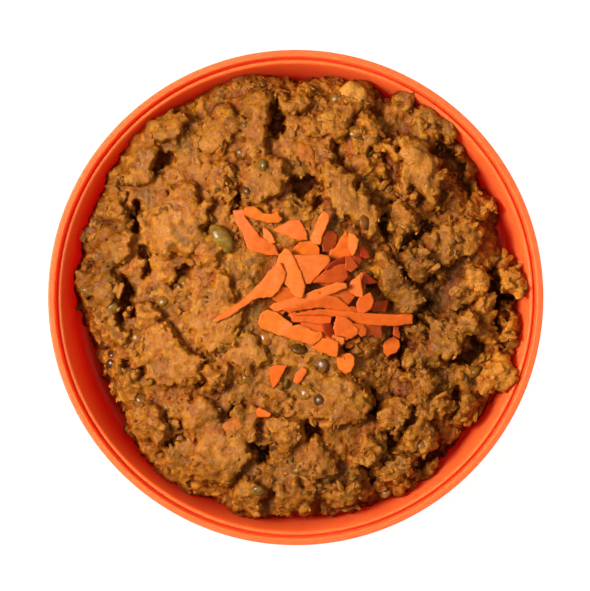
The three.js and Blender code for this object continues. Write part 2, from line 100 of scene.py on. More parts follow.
# Outline of the heap seen from above, clockwise from the back: x, y as they look at the lip's height.
OUTLINE = OUTLINE_SCALE * np.array([
    (-18, 81), (-10, 81), (-3, 77.5), (2, 77), (8, 79), (16, 80), (28, 77), (33, 73), (38, 77),
    (42, 76), (43, 71), (50, 69.5), (54, 67), (57, 62), (59, 59), (63, 55), (64, 50), (68, 47),
    (66, 43), (66, 39), (72, 36), (74, 31), (71.5, 26), (73, 18), (77, 15.8), (80.5, 14),
    (83.5, 10), (85.3, 5), (84.3, 1), (81.5, -0.8), (77, -3), (79, -5.5), (82, -7), (83, -9),
    (82, -11), (80.3, -13.7), (82.5, -16.5), (81.8, -18.8), (78, -19.5), (77, -22.3), (79.3, -23.5),
    (81, -28), (79.8, -32), (77, -34.5), (73, -36), (71, -38), (67.5, -42), (62, -46), (57, -52),
    (51, -59), (52, -65), (45, -69), (38, -74), (30, -74), (25, -75), (22, -78), (8, -77.5),
    (0, -78.5), (-10, -79), (-16, -80.5), (-22, -79), (-25, -74), (-30, -71.5), (-35, -70.5),
    (-41, -69), (-46, -66), (-49, -63), (-50.5, -60), (-52.5, -59.5), (-55, -57), (-56.5, -54),
    (-57.5, -51), (-59.3, -48.8), (-61, -46.3), (-61, -43.6), (-60.2, -41.6), (-61.2, -39.6),
    (-63, -37.1), (-64.5, -32.3), (-65.5, -28.4), (-68, -26.4), (-69.4, -21.5), (-71.3, -14.6), (-74, -9.8),
    (-75.5, -6), (-78, -1), (-79.5, 4), (-78, 10), (-75, 15), (-76.3, 20), (-76.8, 23),
    (-76.3, 26), (-73.2, 29), (-72.5, 31.5), (-70.5, 33.5), (-69.5, 36), (-67.5, 38.5),
    (-67.2, 40), (-68.2, 42), (-68, 45), (-67.3, 46.7), (-63.8, 48), (-62.8, 51.5), (-60.5, 54),
    (-61, 55.3), (-58.5, 57.5), (-55, 60.5), (-53, 64), (-45, 68), (-38, 71), (-30, 76), (-23, 80),
])
OUTLINE_TURNS = np.arctan2(OUTLINE[:, 1], OUTLINE[:, 0])
OUTLINE_ORDER = np.argsort(OUTLINE_TURNS)

# Big lumps and ridges of the mash: x, y, half length, half width, angle in degrees, height.
LUMPS = [
    (-60, 48, 12, 8, 30, 2.5), (-50, 60, 11, 6, 35, 3), (-42, 27, 14, 11, 80, 2.5),
    (-67, 33, 7, 7, 0, 2.5), (-66, 17, 8, 6, 20, 2.5), (-72, 4, 8, 8, 0, 3),
    (-68, -10, 8, 7, -60, 2.5), (-55, -5, 6, 5, 70, 3), (-47, -21, 13, 10, -45, 3),
    (-29, -5, 15, 9, 80, 2), (-31, 18, 8, 7, 0, 2), (-53, -46, 7, 6, 45, 3),
    (-61, -33, 9, 6, -60, 2), (-36, -42, 9, 7, -30, 2.5), (-29, -58, 13, 10, 60, 3),
    (-22, -46, 9, 6, 10, 2.5), (-30, -28, 6, 5, 0, 2.5), (-17, -20, 9, 7, -30, 1.5),
    (-15, 62, 14, 6, 80, 2.5), (-28, 62, 9, 7, 60, 2), (0, 72, 7, 5, 30, 2.5),
    (21, 72, 8, 7, 60, 2.5), (12, 62, 8, 5, 20, 2.5), (26, 60, 7, 5, 65, 2),
    (-11, 42, 9, 8, 75, 3), (-26, 42, 8, 6, -50, 2.5), (20, 35, 17, 6.5, -55, 4),
    (37, 47, 13, 5, -65, 4), (47, 47, 17, 6.5, -68, 4.5), (49, 65, 7, 6, -40, 3),
    (40, 73, 5, 4, 0, 2.5), (39, 26, 9, 5, -70, 3), (63, 24, 7, 6, 10, 3),
    (54, 19, 8, 5, -10, 3), (44, 12, 7, 7, 0, 3.5), (32, 10, 8, 5, -70, 2.5),
    (65, 3, 8, 6, 0, 3), (41, -1, 8, 5, -40, 3), (60, -10, 7, 6, -20, 3),
    (53, -16, 10, 5, 80, 3), (46, -20, 6, 5.5, 0, 3), (44, -11, 4, 4, 0, 2.5),
    (46, -30, 7, 4, -10, 2.5), (36, -41, 6, 6, 0, 3), (50, -39, 7, 6, -20, 2.5),
    (62, -40, 6, 5, 40, 2.5), (45, -52, 7, 5, -10, 2.5), (17, -37, 12, 10, 0, 2.5),
    (25, -57, 7, 5, 30, 2.5), (37, -63, 7, 6, 40, 2.5), (-5, -49, 7, 6, 80, 2.5),
    (2, -73, 8, 6, 0, 2.5), (17, -72, 7, 5, 0, 2.5), (-17, -72, 9, 7, 0, 3),
    (8, -61, 8, 5, 0, 2), (75, -27, 8, 8, 0, 3.5), (80, 5, 7, 5, 90, 2.5),
    (79, -9, 6, 5, 90, 2.5), (74, 33, 4, 3, 0, 2),
]

# Hollows and gullies between them: x, y, half length, half width, angle in degrees, depth.
HOLLOWS = [
    (-5, 63, 4.5, 4, 60, 7), (-47, 49, 6.5, 2.8, 40, 5), (-57.5, 28, 7.5, 2.2, 83, 7),
    (3, 41, 6, 4, -35, 7), (34, 46, 11, 3.4, -62, 8), (-54.5, 12, 5, 1.8, 75, 5),
    (-42, 8, 5, 2.6, 60, 5), (-62, -2, 10, 2.2, 86, 6), (-15, -56, 6, 2.8, -40, 8),
    (7, -49, 5, 2.8, 10, 7), (29, -38, 7, 2.6, 78, 7), (36, -52, 5, 3, 30, 7),
    (40, -22, 8, 2.4, -60, 7), (58, -36, 4, 2.5, 70, 6), (63, -22, 6, 3, 40, 7),
    (46, -6, 5, 2.5, 60, 6), (42, 19, 6, 2.2, 10, 6), (38, 11, 6, 2, 85, 5),
    (53, 38, 6, 1.8, 80, 6), (46, 27, 6, 2, -35, 5), (33.5, 27, 8, 1.8, 85, 5),
    (73, 0, 14, 3, 90, 12), (27, 6, 5, 3, 45, 4), (58, 49, 14, 4, -60, 6),
    (-22, 38, 8, 2.4, -55, 4), (50, -59, 9, 4, 45, 6),
    (-35, -29, 3, 1.5, 30, 5), (-24, -42, 5, 1.6, 60, 5), (-45, -51, 5, 1.8, 50, 5),
    (-58, -25, 3, 1.4, 20, 4), (-38, -18, 9, 1.3, -42, 4), (9, 32, 3, 1.6, 70, 4),
    (27, -64, 6, 1.5, -60, 5), (15, -68, 5, 1.3, 0, 4), (17, 52, 7, 2.2, -60, 4),
]

# Where the pile and its longest shred press the mash flat, as ovals like those above.
PILE_BED = (5, 3, 21, 18, -35)
BAR_BED = (30, -8, 13, 4, 0)
# Round the shreds that lie apart, where no loose piece is set down.
CLEAR = [(-20, -3, 14, 4, 35), (-6.5, -27, 6, 9, 0), (1.5, -28, 5, 6, 0), (-12, -41.5, 5, 4, 0)]
LUMP_RELIEF = 1.95
LUMP_ROUND = 0.25  # share of a lump's height that is its crown
LUMP_LEAN = 0.1  # rise of a lump's top for each millimetre to the right
LUMP_SIDE = 0.22  # share of a lump in which its side rises
LARGE_LUMP = 60  # a lump's half length times its half width, above which its top is smooth
PIT_RELIEF = 1.3
PIT_SIDE = 0.45
BED_DEPTH = 2.2  # how deep the pile presses the mash
BED_EDGE = 0.4
BED_CALM = 0.7  # share of the relief that the pile presses flat
SOFT_TOP = 56.5  # lumps above this height are drawn down
TOP_SPAN = 3.6

# Noise that tears the outlines of lumps, then that of the heap: pitch, shift and seed.
LUMP_TEARS = [(8, 2.8, 1), (3.1, 1.9, 21), (1.5, 1.0, 23)]
HEAP_TEARS = [(3.1, 1.2, 25), (1.5, 0.9, 27)]
# Slabs of mash: pitch, seed, relief where it is smooth, and how much more where it is rough.
BROAD_SLABS = (17, 5, 1.5, 0)
LONG_SLABS = (7.5, 3, 1.1, 1.5)
SMALL_SLABS = (4.3, 9, 0.3, 0.6)
SLAB_TURN = math.radians(-60)  # the way the mash was dragged
SLAB_STRETCH = 2  # how much longer the long slabs are than wide
SLAB_TILT = 0.5
SLAB_STAND = 0.55  # how much higher one slab stands than another
SLAB_DROP = 1.6  # how steep their sides are
SLAB_MEAN = 0.25
PLATEAU_CALM = 0.75  # share of the smaller slabs' relief that smooth tops lack
ROUGH_PITCH = 22  # of the patches of rough mash
ROUGH_REACH = 45  # the mash gets rougher to the right over this distance
RIGHT_SIDE = (5, 40)  # where the right side starts, and where it is fully there
RIGHT_FALL = 3.2  # how much lower the mash is there
RIGHT_RELIEF = 0.35  # how much stronger its relief is there
# Crumbs that the heap is torn into: pitch, seed, share of the height, step between neighbours.
CRUMBS = [(2.6, 81, 0.36, 0.8), (1.4, 85, 0.30, 0.4)]
WHOLE_SHARE = 0.34  # share of the height that isn't torn into crumbs
CRUMB_ROUND = 0.3

COLUMN_RINGS = 175
COLUMN_BOTTOM = 8.0
COLUMN_LEAST = 4  # its least depth
COLUMN_OVERRUN = 5  # how far it runs on past the outline
COLUMN_TAPER = 0.75

CLOD_PITCH = 6.5
CLOD_SHARE = 0.4  # greatest share of the places that have a clod
SMALLEST_CLOD, LARGEST_CLOD = 1.8, 4.4
CLOD_SINK = 0.7
CLOD_REACH = 80  # how far from the middle they lie at most
CLOD_MARGIN = 1.5  # how far inside the outline
BED_LIMIT = 0.1  # nothing loose is set down where the pile presses more than this

SKIN_VOXEL = 0.5
SKIN_TRIANGLES = 190000
SHOWN_LOW, SHOWN_HIGH = 20, 26  # heights between which the heap's skin starts to show
TOP_GAP = 0.3  # how far the mash stays under the pile's top

# ---------------------------------------------------------------- noise

FAR_OFF = 9.0  # further than any cell's middle, in pitches
HASH_STEPS = (127.1, 311.7, 74.7)
HASH_SPREAD = 43758.5453
CELL_PRIMES = (73856093, 19349663, 83492791)
SEED_PRIME = 2654435761
MIX_PRIME = 1274126177
LOW_BITS = 0xFFFFFF


def hash2(i, j, k):
    """A repeatable random number from 0 to 1 for a cell of a flat grid."""
    s = np.sin(i * HASH_STEPS[0] + j * HASH_STEPS[1] + k * HASH_STEPS[2]) * HASH_SPREAD
    return s - np.floor(s)


def smooth(t):
    t = np.clip(t, 0.0, 1.0)
    return t * t * (3 - 2 * t)


def ramp(value, low, high):
    """0 below low, 1 above high, and a smooth rise between."""
    return smooth((value - low) / (high - low))


def drift(x, y, pitch, seed):
    """Smooth flat noise from -1 to 1."""
    i, j = np.floor(x / pitch), np.floor(y / pitch)
    u, v = smooth(x / pitch - i), smooth(y / pitch - j)
    near = hash2(i, j, seed) * (1 - u) + hash2(i + 1, j, seed) * u
    far = hash2(i, j + 1, seed) * (1 - u) + hash2(i + 1, j + 1, seed) * u
    return 2 * (near * (1 - v) + far * v) - 1


def crumb(x, y, pitch, seed):
    """The middle of the crumb that a place belongs to, how far off it is, and the crumb's number."""
    i, j = np.floor(x / pitch), np.floor(y / pitch)
    nearest = np.full_like(x, FAR_OFF)
    middle_x, middle_y, number = np.zeros_like(x), np.zeros_like(x), np.zeros_like(x)
    for a in (-1, 0, 1):
        for b in (-1, 0, 1):
            p, q = i + a, j + b
            cx, cy = p + hash2(p, q, seed), q + hash2(p, q, seed + 1)
            distance = np.hypot(x / pitch - cx, y / pitch - cy)
            nearer = distance < nearest
            nearest = np.where(nearer, distance, nearest)
            middle_x = np.where(nearer, cx * pitch, middle_x)
            middle_y = np.where(nearer, cy * pitch, middle_y)
            number = np.where(nearer, hash2(p, q, seed + 2), number)
    return middle_x, middle_y, nearest, number


def hash3(cell, seed):
    """A repeatable random number from 0 to 1 for whole-number cells in space, shape (n, 3)."""
    c = cell.astype(np.int64)
    mixed = (c[:, 0] * CELL_PRIMES[0]) ^ (c[:, 1] * CELL_PRIMES[1]) ^ (c[:, 2] * CELL_PRIMES[2])
    mixed = mixed ^ (seed * SEED_PRIME)
    mixed = (mixed ^ (mixed >> 13)) * MIX_PRIME
    return ((mixed ^ (mixed >> 16)) & LOW_BITS) / float(LOW_BITS)


def noise3(points, pitch, seed):
    """Smooth noise in space from -1 to 1."""
    scaled = points / pitch
    base = np.floor(scaled)
    t = smooth(scaled - base)
    total = np.zeros(len(points))
    for corner in np.ndindex(2, 2, 2):
        weight = np.prod(np.where(corner, t, 1 - t), axis=1)
        total += weight * hash3(base + corner, seed)
    return 2 * total - 1


def shift3(points, pitch, seed):
    """Noise in space for each axis, to shift places by."""
    return np.stack([noise3(points, pitch, seed + axis) for axis in range(3)], axis=1)


def cells3(points, pitch, seed):
    """Distance to the nearest and second nearest scattered point, in pitches, and the nearest's number."""
    scaled = points / pitch
    base = np.floor(scaled)
    first = np.full(len(points), FAR_OFF)
    second = np.full(len(points), FAR_OFF)
    number = np.zeros(len(points))
    for corner in np.ndindex(3, 3, 3):
        cell = base + np.array(corner) - 1
        centre = cell + np.stack([hash3(cell, seed + axis) for axis in range(3)], axis=1)
        distance = np.linalg.norm(scaled - centre, axis=1)
        nearer = distance < first
        second = np.where(nearer, first, np.minimum(second, distance))
        number = np.where(nearer, hash3(cell, seed + 3), number)
        first = np.where(nearer, distance, first)
    return first, second, number


# ---------------------------------------------------------------- meshes

def mesh_object(name, vertices, faces, smooth_shaded=True):
    """An object from vertices in millimetres and faces that all have the same number of corners."""
    vertices = np.asarray(vertices, np.float64)
    faces = np.asarray(faces, np.int32)
    corners = faces.shape[1]
    mesh = bpy.data.meshes.new(name)
    mesh.vertices.add(len(vertices))
    mesh.vertices.foreach_set("co", (vertices * MM).astype(np.float32).ravel())
    mesh.loops.add(faces.size)
    mesh.loops.foreach_set("vertex_index", faces.ravel())
    mesh.polygons.add(len(faces))
    mesh.polygons.foreach_set("loop_start", np.arange(0, faces.size, corners, dtype=np.int32))
    mesh.update(calc_edges=True)
    mesh.polygons.foreach_set("use_smooth", np.full(len(faces), smooth_shaded))
    mesh.validate()
    piece = bpy.data.objects.new(name, mesh)
    bpy.context.scene.collection.objects.link(piece)
    return piece


def mesh_points(mesh):
    points = np.empty(3 * len(mesh.vertices), np.float32)
    mesh.vertices.foreach_get("co", points)
    return points.reshape(-1, 3).astype(np.float64) / MM


def mesh_normals(mesh):
    normals = np.empty(3 * len(mesh.vertices), np.float32)
    mesh.vertex_normals.foreach_get("vector", normals)
    return normals.reshape(-1, 3).astype(np.float64)


def apply_modifiers(piece):
    """Replaces a piece's mesh by what its modifiers make of it."""
    graph = bpy.context.evaluated_depsgraph_get()
    made = bpy.data.meshes.new_from_object(piece.evaluated_get(graph))
    old = piece.data
    piece.modifiers.clear()
    piece.data = made
    bpy.data.meshes.remove(old)


def paint(piece, colors, name="tint"):
    """Stores a colour for each vertex."""
    layer = piece.data.color_attributes.new(name, "FLOAT_COLOR", "POINT")
    rgba = np.ones((len(colors), 4), np.float32)
    rgba[:, :3] = colors
    layer.data.foreach_set("color", rgba.ravel())


BLOCK_HALF = 0.85  # half a block's side, for a mean radius near 1
NOISE_REACH = 500  # pieces take their noise from anywhere within this distance
SWELL_SEED = 5


def ball(subdivisions):
    """Vertices and triangles of a unit ball."""
    made = bmesh.new()
    bmesh.ops.create_icosphere(made, subdivisions=subdivisions, radius=1)
    vertices = np.array([v.co[:] for v in made.verts])
    faces = np.array([[v.index for v in f.verts] for f in made.faces])
    made.free()
    return vertices, faces


def block(subdivisions, power=4.5):
    """A cube with rounded edges, sharper for a higher power, as vertices and triangles."""
    vertices, faces = ball(subdivisions)
    radius = (np.abs(vertices) ** power).sum(axis=1, keepdims=True) ** (1 / power)
    return vertices / radius * BLOCK_HALF, faces


def spins(count, rng):
    """Random rotations, shape (count, 3, 3)."""
    q = rng.normal(size=(count, 4))
    w, x, y, z = (q / np.linalg.norm(q, axis=1, keepdims=True)).T
    rows = [
        [1 - 2 * (y * y + z * z), 2 * (x * y - z * w), 2 * (x * z + y * w)],
        [2 * (x * y + z * w), 1 - 2 * (x * x + z * z), 2 * (y * z - x * w)],
        [2 * (x * z - y * w), 2 * (y * z + x * w), 1 - 2 * (x * x + y * y)],
    ]
    return np.moveaxis(np.array(rows), 2, 0)


def facing(normals, rng, wobble):
    """Rotations that turn +Z to the given normals, each with a random spin and wobble."""
    up = normals + wobble * rng.normal(size=normals.shape)
    up /= np.linalg.norm(up, axis=1, keepdims=True)
    side = np.cross(up, rng.normal(size=normals.shape))
    side /= np.linalg.norm(side, axis=1, keepdims=True)
    return np.stack([side, np.cross(up, side), up], axis=2)


def lumpy_balls(template, centres, radii, turns, rng, roughness, grain=0.8):
    """Many uneven copies of a template, as one set of vertices and faces."""
    vertices, faces = template
    count, size = len(centres), len(vertices)
    offsets = rng.uniform(0, NOISE_REACH, (count, 1, 3))
    swell = noise3((vertices[None] + offsets).reshape(-1, 3), grain, SWELL_SEED).reshape(count, size, 1)
    shaped = vertices[None] * (1 + roughness * swell) * radii[:, None, :]
    placed = np.einsum("nij,nkj->nki", turns, shaped) + centres[:, None, :]
    joined = faces[None] + (np.arange(count) * size)[:, None, None]
    return placed.reshape(-1, 3), joined.reshape(-1, faces.shape[1])


# ---------------------------------------------------------------- materials

CLOUD_RANGE = (0.35, 0.62)  # where the noise of a mottle is darkest, and where it ends
GLOSS_SCALE = 420  # of the noise between a food's lowest and highest roughness
GLOSS_RANGE = (0.38, 0.55)
CRUMB_EDGE = 0.8  # where a crumb's rounded top ends, in its cell
CELL_TEAR = 0.9  # how far noise tears a cell's outline, in cells
SILICONE = [(0.3, (0.88, 0.116, 0.021)), (0.7, (0.91, 0.127, 0.024))]
SILICONE_GLOSS = [(0.3, (0.42, 0.42, 0.42)), (0.7, (0.48, 0.48, 0.48))]
SILICONE_SPECULAR = 0.18
SILICONE_SUBSURFACE = 0.85
SILICONE_SCATTER = (1.0, 0.24, 0.22)
SILICONE_DEPTH = 0.014  # how far light travels in it, in metres
SILICONE_GRAIN = 0.02  # relief in millimetres


def new_material(name):
    material = bpy.data.materials.new(name)
    material.use_nodes = True
    return material, material.node_tree.nodes, material.node_tree.links


def noise_node(nodes, links, coordinates, scale, detail=4.0):
    node = nodes.new("ShaderNodeTexNoise")
    node.inputs["Scale"].default_value = scale
    node.inputs["Detail"].default_value = detail
    node.inputs["Roughness"].default_value = 0.6
    links.new(coordinates, node.inputs["Vector"])
    return node.outputs["Fac"]


def ramp_node(nodes, links, value, stops):
    """A colour ramp from (position, colour) pairs."""
    node = nodes.new("ShaderNodeValToRGB")
    links.new(value, node.inputs["Fac"])
    elements = node.color_ramp.elements
    while len(elements) < len(stops):
        elements.new(0.5)
    for element, (position, color) in zip(elements, stops):
        element.position = position
        element.color = (*color, 1)
    return node.outputs["Color"]


def attribute_node(nodes, name):
    node = nodes.new("ShaderNodeAttribute")
    node.attribute_name = name
    return node.outputs["Color"]


def grey(value):
    return (value, value, value)


def multiply_node(nodes, links, first, second):
    node = nodes.new("ShaderNodeMix")
    node.data_type = "RGBA"
    node.blend_type = "MULTIPLY"
    node.inputs["Factor"].default_value = 1.0
    links.new(first, node.inputs["A"])
    links.new(second, node.inputs["B"])
    return node.outputs["Result"]


def bump_node(nodes, links, height, relief, under=None):
    """Relief in millimetres, over that of another bump node."""
    node = nodes.new("ShaderNodeBump")
    node.inputs["Strength"].default_value = 1.0
    node.inputs["Distance"].default_value = relief * MM
    links.new(height, node.inputs["Height"])
    if under is not None:
        links.new(under, node.inputs["Normal"])
    return node.outputs["Normal"]


def set_shader(shader, specular, subsurface, scatter, depth):
    shader.inputs["Specular IOR Level"].default_value = specular
    shader.inputs["Subsurface Weight"].default_value = subsurface
    shader.inputs["Subsurface Radius"].default_value = scatter
    shader.inputs["Subsurface Scale"].default_value = depth


def cells_node(nodes, links, coordinates, scale):
    """Cells of torn outline: how far a place is from its cell's middle, and a number for each cell."""
    noise = nodes.new("ShaderNodeTexNoise")
    noise.inputs["Scale"].default_value = 2 * scale
    links.new(coordinates, noise.inputs["Vector"])
    shifted_place = nodes.new("ShaderNodeVectorMath")
    shifted_place.operation = "MULTIPLY_ADD"
    links.new(noise.outputs["Color"], shifted_place.inputs[0])
    shifted_place.inputs[1].default_value = grey(CELL_TEAR / scale)
    links.new(coordinates, shifted_place.inputs[2])
    cells = nodes.new("ShaderNodeTexVoronoi")
    cells.inputs["Scale"].default_value = scale
    links.new(shifted_place.outputs["Vector"], cells.inputs["Vector"])
    number = nodes.new("ShaderNodeSeparateColor")
    links.new(cells.outputs["Color"], number.inputs["Color"])
    return cells.outputs["Distance"], number.outputs["Red"]


def food_material(name, roughness, mottle, bumps, crumbs=(), subsurface=0.0, scatter=(1, 0.4, 0.15),
                  depth=0.0006, specular=0.5):
    """Moist food: the painted tint, mottled by noise, with grain in relief and patchy gloss.

    roughness: its lowest and highest value; mottle: pairs of noise scale and darkest share;
    bumps: pairs of noise scale and relief in millimetres; crumbs: for each size of crumb its scale,
    its relief and the colours, from a ramp, by which single crumbs differ; depth: how far light
    travels in it, in metres.
    """
    material, nodes, links = new_material(name)
    shader = nodes["Principled BSDF"]
    place = nodes.new("ShaderNodeTexCoord").outputs["Object"]
    color = attribute_node(nodes, "tint")
    normal = None
    for noise_scale, darkest in mottle:
        cloud = ramp_node(nodes, links, noise_node(nodes, links, place, noise_scale),
                          [(CLOUD_RANGE[0], darkest), (CLOUD_RANGE[1], grey(1))])
        color = multiply_node(nodes, links, color, cloud)
    for noise_scale, relief in bumps:
        normal = bump_node(nodes, links, noise_node(nodes, links, place, noise_scale), relief, normal)
    for cell_scale, relief, stops in crumbs:
        distance, number = cells_node(nodes, links, place, cell_scale)
        color = multiply_node(nodes, links, color, ramp_node(nodes, links, number, stops))
        rounded = ramp_node(nodes, links, distance, [(0.0, grey(1)), (CRUMB_EDGE, grey(0))])
        normal = bump_node(nodes, links, rounded, relief, normal)
    links.new(color, shader.inputs["Base Color"])
    links.new(normal, shader.inputs["Normal"])
    gloss = ramp_node(nodes, links, noise_node(nodes, links, place, GLOSS_SCALE),
                      [(GLOSS_RANGE[0], grey(roughness[0])), (GLOSS_RANGE[1], grey(roughness[1]))])
    links.new(gloss, shader.inputs["Roughness"])
    set_shader(shader, specular, subsurface, scatter, depth)
    return material


def bowl_material():
    """Satin orange silicone, through which some light passes."""
    material, nodes, links = new_material("orange_silicone")
    shader = nodes["Principled BSDF"]
    place = nodes.new("ShaderNodeTexCoord").outputs["Object"]
    cloud = noise_node(nodes, links, place, 30, 3)
    silicone = ramp_node(nodes, links, cloud, SILICONE)
    # Painted shade: the silicone's colour is multiplied by the painted shade stored on the vertices.
    links.new(multiply_node(nodes, links, silicone, attribute_node(nodes, "painted_shade")),
              shader.inputs["Base Color"])
    fine = noise_node(nodes, links, place, 1400, 2)
    links.new(bump_node(nodes, links, fine, SILICONE_GRAIN), shader.inputs["Normal"])
    links.new(ramp_node(nodes, links, cloud, SILICONE_GLOSS), shader.inputs["Roughness"])
    set_shader(shader, SILICONE_SPECULAR, SILICONE_SUBSURFACE, SILICONE_SCATTER, SILICONE_DEPTH)
    return material


# ---------------------------------------------------------------- bowl

def arc(start, corner, end, steps=8):
    """Points of a quadratic curve from start to end, pulled towards corner."""
    t = np.linspace(0, 1, steps + 1)[:, None]
    start, corner, end = (np.array(p, float) for p in (start, corner, end))
    return list((1 - t) ** 2 * start + 2 * t * (1 - t) * corner + t * t * end)


def inner_profile():
    """Inside from the lip's inner edge down to the middle of the floor, as radius and height."""
    ledge_inner = LEDGE_RADIUS - LEDGE_WIDTH
    points = arc((LIP_EDGE + LIP_ROUND, HEIGHT), (LIP_EDGE, HEIGHT), (LIP_EDGE - 0.1, HEIGHT - LIP_ROUND))
    points += arc((SLIT_RADIUS + 0.1, SLIT_HEIGHT + 0.4), (SLIT_RADIUS, SLIT_HEIGHT),
                  (SLIT_RADIUS - 0.25, SLIT_HEIGHT + 0.05), 4)
    points += arc((CREST_RADIUS + 0.6, CREST_HEIGHT - 0.35), (CREST_RADIUS + 0.4, CREST_HEIGHT),
                  (CREST_RADIUS, CREST_HEIGHT), 4)
    points += arc((CREST_RADIUS - 0.2, CREST_HEIGHT - 0.05), (CREST_RADIUS - 0.7, CREST_HEIGHT - 0.3),
                  (CREST_RADIUS - 0.95, CREST_HEIGHT - 1.3))
    points += arc((LEDGE_RADIUS + 0.4, LEDGE_HEIGHT + 1.6), (LEDGE_RADIUS, LEDGE_HEIGHT),
                  (LEDGE_RADIUS - 0.8, LEDGE_HEIGHT - 0.1))
    points += arc((ledge_inner + 0.8, LEDGE_HEIGHT - 0.3), (ledge_inner, LEDGE_HEIGHT - 0.4),
                  (ledge_inner - 0.9, LEDGE_HEIGHT - 1.8))
    points += arc((FLOOR_RADIUS + FLOOR_FILLET, FLOOR_HEIGHT + 0.7 * FLOOR_FILLET),
                  (FLOOR_RADIUS + 4, FLOOR_HEIGHT), (FLOOR_RADIUS, FLOOR_HEIGHT))
    return points + [np.array((0.0, FLOOR_HEIGHT))]


def outer_profile():
    """Outside from the middle of the base up to the lip."""
    under = HEIGHT - LIP_DEPTH
    skirt, out = SKIRT_RADIUS, WALL_OUTSIDE
    points = [np.array(p, float) for p in (
        (0, FOOT_HEIGHT), (FOOT_RADIUS - FOOT_WIDTH, FOOT_HEIGHT),
        (FOOT_RADIUS - FOOT_WIDTH + 0.8, 0), (FOOT_RADIUS - 0.6, 0))]
    points += arc((FOOT_RADIUS - 0.2, 0), (FOOT_RADIUS + 0.6, 0.2),
                  (FLOOR_RADIUS + FLOOR_FILLET + 1.6, FLOOR_HEIGHT + 0.3 * FLOOR_FILLET))
    points += arc((LEDGE_RADIUS - 2, LEDGE_HEIGHT - 7), (LEDGE_RADIUS + 1.4, LEDGE_HEIGHT - 3),
                  (LEDGE_RADIUS + WALL, LEDGE_HEIGHT + 1))
    points += arc((out, under - 0.8), (out, under), (out + 0.8, under), 4)
    points += arc((skirt - 0.4, under), (skirt, under), (skirt, under + 0.4), 4)
    points += arc((RIM, HEIGHT - 0.8), (RIM, HEIGHT), (RIM - 0.6, HEIGHT))
    return points


def turned(name, profile, segments):
    """A closed profile turned about the Z axis, its first and last points on the axis."""
    ring = np.array(profile[1:-1])
    angles = np.linspace(0, 2 * math.pi, segments, endpoint=False)
    circle = np.stack([np.cos(angles), np.sin(angles)], axis=1)
    rings = [np.column_stack([r * circle, np.full(segments, z)]) for r, z in ring]
    vertices = np.concatenate(rings + [[[0, 0, profile[0][1]], [0, 0, profile[-1][1]]]])
    here = np.arange(segments)
    after = (here + 1) % segments
    faces = []
    for k in range(len(ring) - 1):
        low, high = k * segments, (k + 1) * segments
        faces.append(np.stack([low + here, low + after, high + after], axis=1))
        faces.append(np.stack([low + here, high + after, high + here], axis=1))
    bottom, top = len(vertices) - 2, len(vertices) - 1
    last = (len(ring) - 1) * segments
    faces.append(np.stack([np.full(segments, bottom), after, here], axis=1))
    faces.append(np.stack([np.full(segments, top), last + here, last + after], axis=1))
    return mesh_object(name, vertices, np.concatenate(faces))


def painted_shade_colors(points):
    """Painted shade: what the colour is multiplied by at each place, darker and redder low on the wall next
    to the food and in the groove, white where there is none.
    """
    radius, height = np.hypot(points[:, 0], points[:, 1]), points[:, 2]
    on_wall = (np.abs(radius - wall_radius(height)) < WALL_NEAR) & (radius < CREST_RADIUS)
    in_slit = np.abs(radius - SLIT_RADIUS) < SLIT_NEAR
    in_slit &= (height > SLIT_HEIGHT - 0.5) & (height < HEIGHT - 2)
    wandering = height + SHADE_WANDER * noise3(points, SHADE_PITCH, 15)
    share = on_wall * (1 - ramp(wandering, SHADE_LOW, SHADE_HIGH)) + in_slit * SLIT_SHADE
    return 1 - share[:, None] * (1 - PAINTED_SHADE)


def make_bowl():
    piece = turned("orange_bowl", outer_profile() + inner_profile(), BOWL_SEGMENTS)
    paint(piece, painted_shade_colors(mesh_points(piece.data)), "painted_shade")
    piece.data.materials.append(bowl_material())
    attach(piece, "root")
    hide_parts("bowl")


INSIDE = np.array(inner_profile())
INSIDE_UP = INSIDE[::-1]
HEIGHTS_UP = np.maximum.accumulate(INSIDE_UP[:, 1])


def wall_height(radius):
    """Height of the bowl's inner surface at a radius."""
    return np.interp(radius, INSIDE_UP[:, 0], INSIDE_UP[:, 1])


def wall_radius(height):
    """Radius of the bowl's inner surface at a height."""
    return np.interp(height, HEIGHTS_UP, INSIDE_UP[:, 0])


# ---------------------------------------------------------------- stew: its form

def inside(x, y, feature):
    """How far inside an oval feature a point lies: 1 at its middle, 0 from its edge outwards."""
    cx, cy, half_length, half_width, angle = feature[:5]
    c, s = math.cos(math.radians(angle)), math.sin(math.radians(angle))
    u = ((x - cx) * c + (y - cy) * s) / half_length
    v = ((y - cy) * c - (x - cx) * s) / half_width
    return np.maximum(0, 1 - u * u - v * v)


def edge_radius(angle):
    """Radius of the heap's outline at angles from -pi to pi."""
    radii = np.hypot(OUTLINE[:, 0], OUTLINE[:, 1])
    return np.interp(angle, OUTLINE_TURNS[OUTLINE_ORDER], radii[OUTLINE_ORDER], period=2 * math.pi)


def heap_height(x, y):
    """The heap without its lumps: a low dome that falls off steeply at its outline."""
    radius = np.hypot(x, y)
    edge = edge_radius(np.arctan2(y, x))
    dome = HEIGHT + CROWN - DOME_DROP * (radius / LEDGE_RADIUS) ** 2
    brink = np.minimum(dome, np.maximum(wall_height(edge), EDGE_HEIGHT))
    inward = edge - radius
    down = np.clip(1 - inward / FLANK_WIDTH, 0, 1)
    return dome - (dome - brink) * down ** FLANK_POWER - BRINK_SLOPE * np.maximum(0, -inward)


def shifted(x, y, tears):
    """A place shifted by noise of several sizes, which tears the outline of all that is drawn at it."""
    right = sum(shift * drift(x, y, pitch, seed) for pitch, shift, seed in tears)
    back = sum(shift * drift(x, y, pitch, seed + 1) for pitch, shift, seed in tears)
    return x + right, y + back


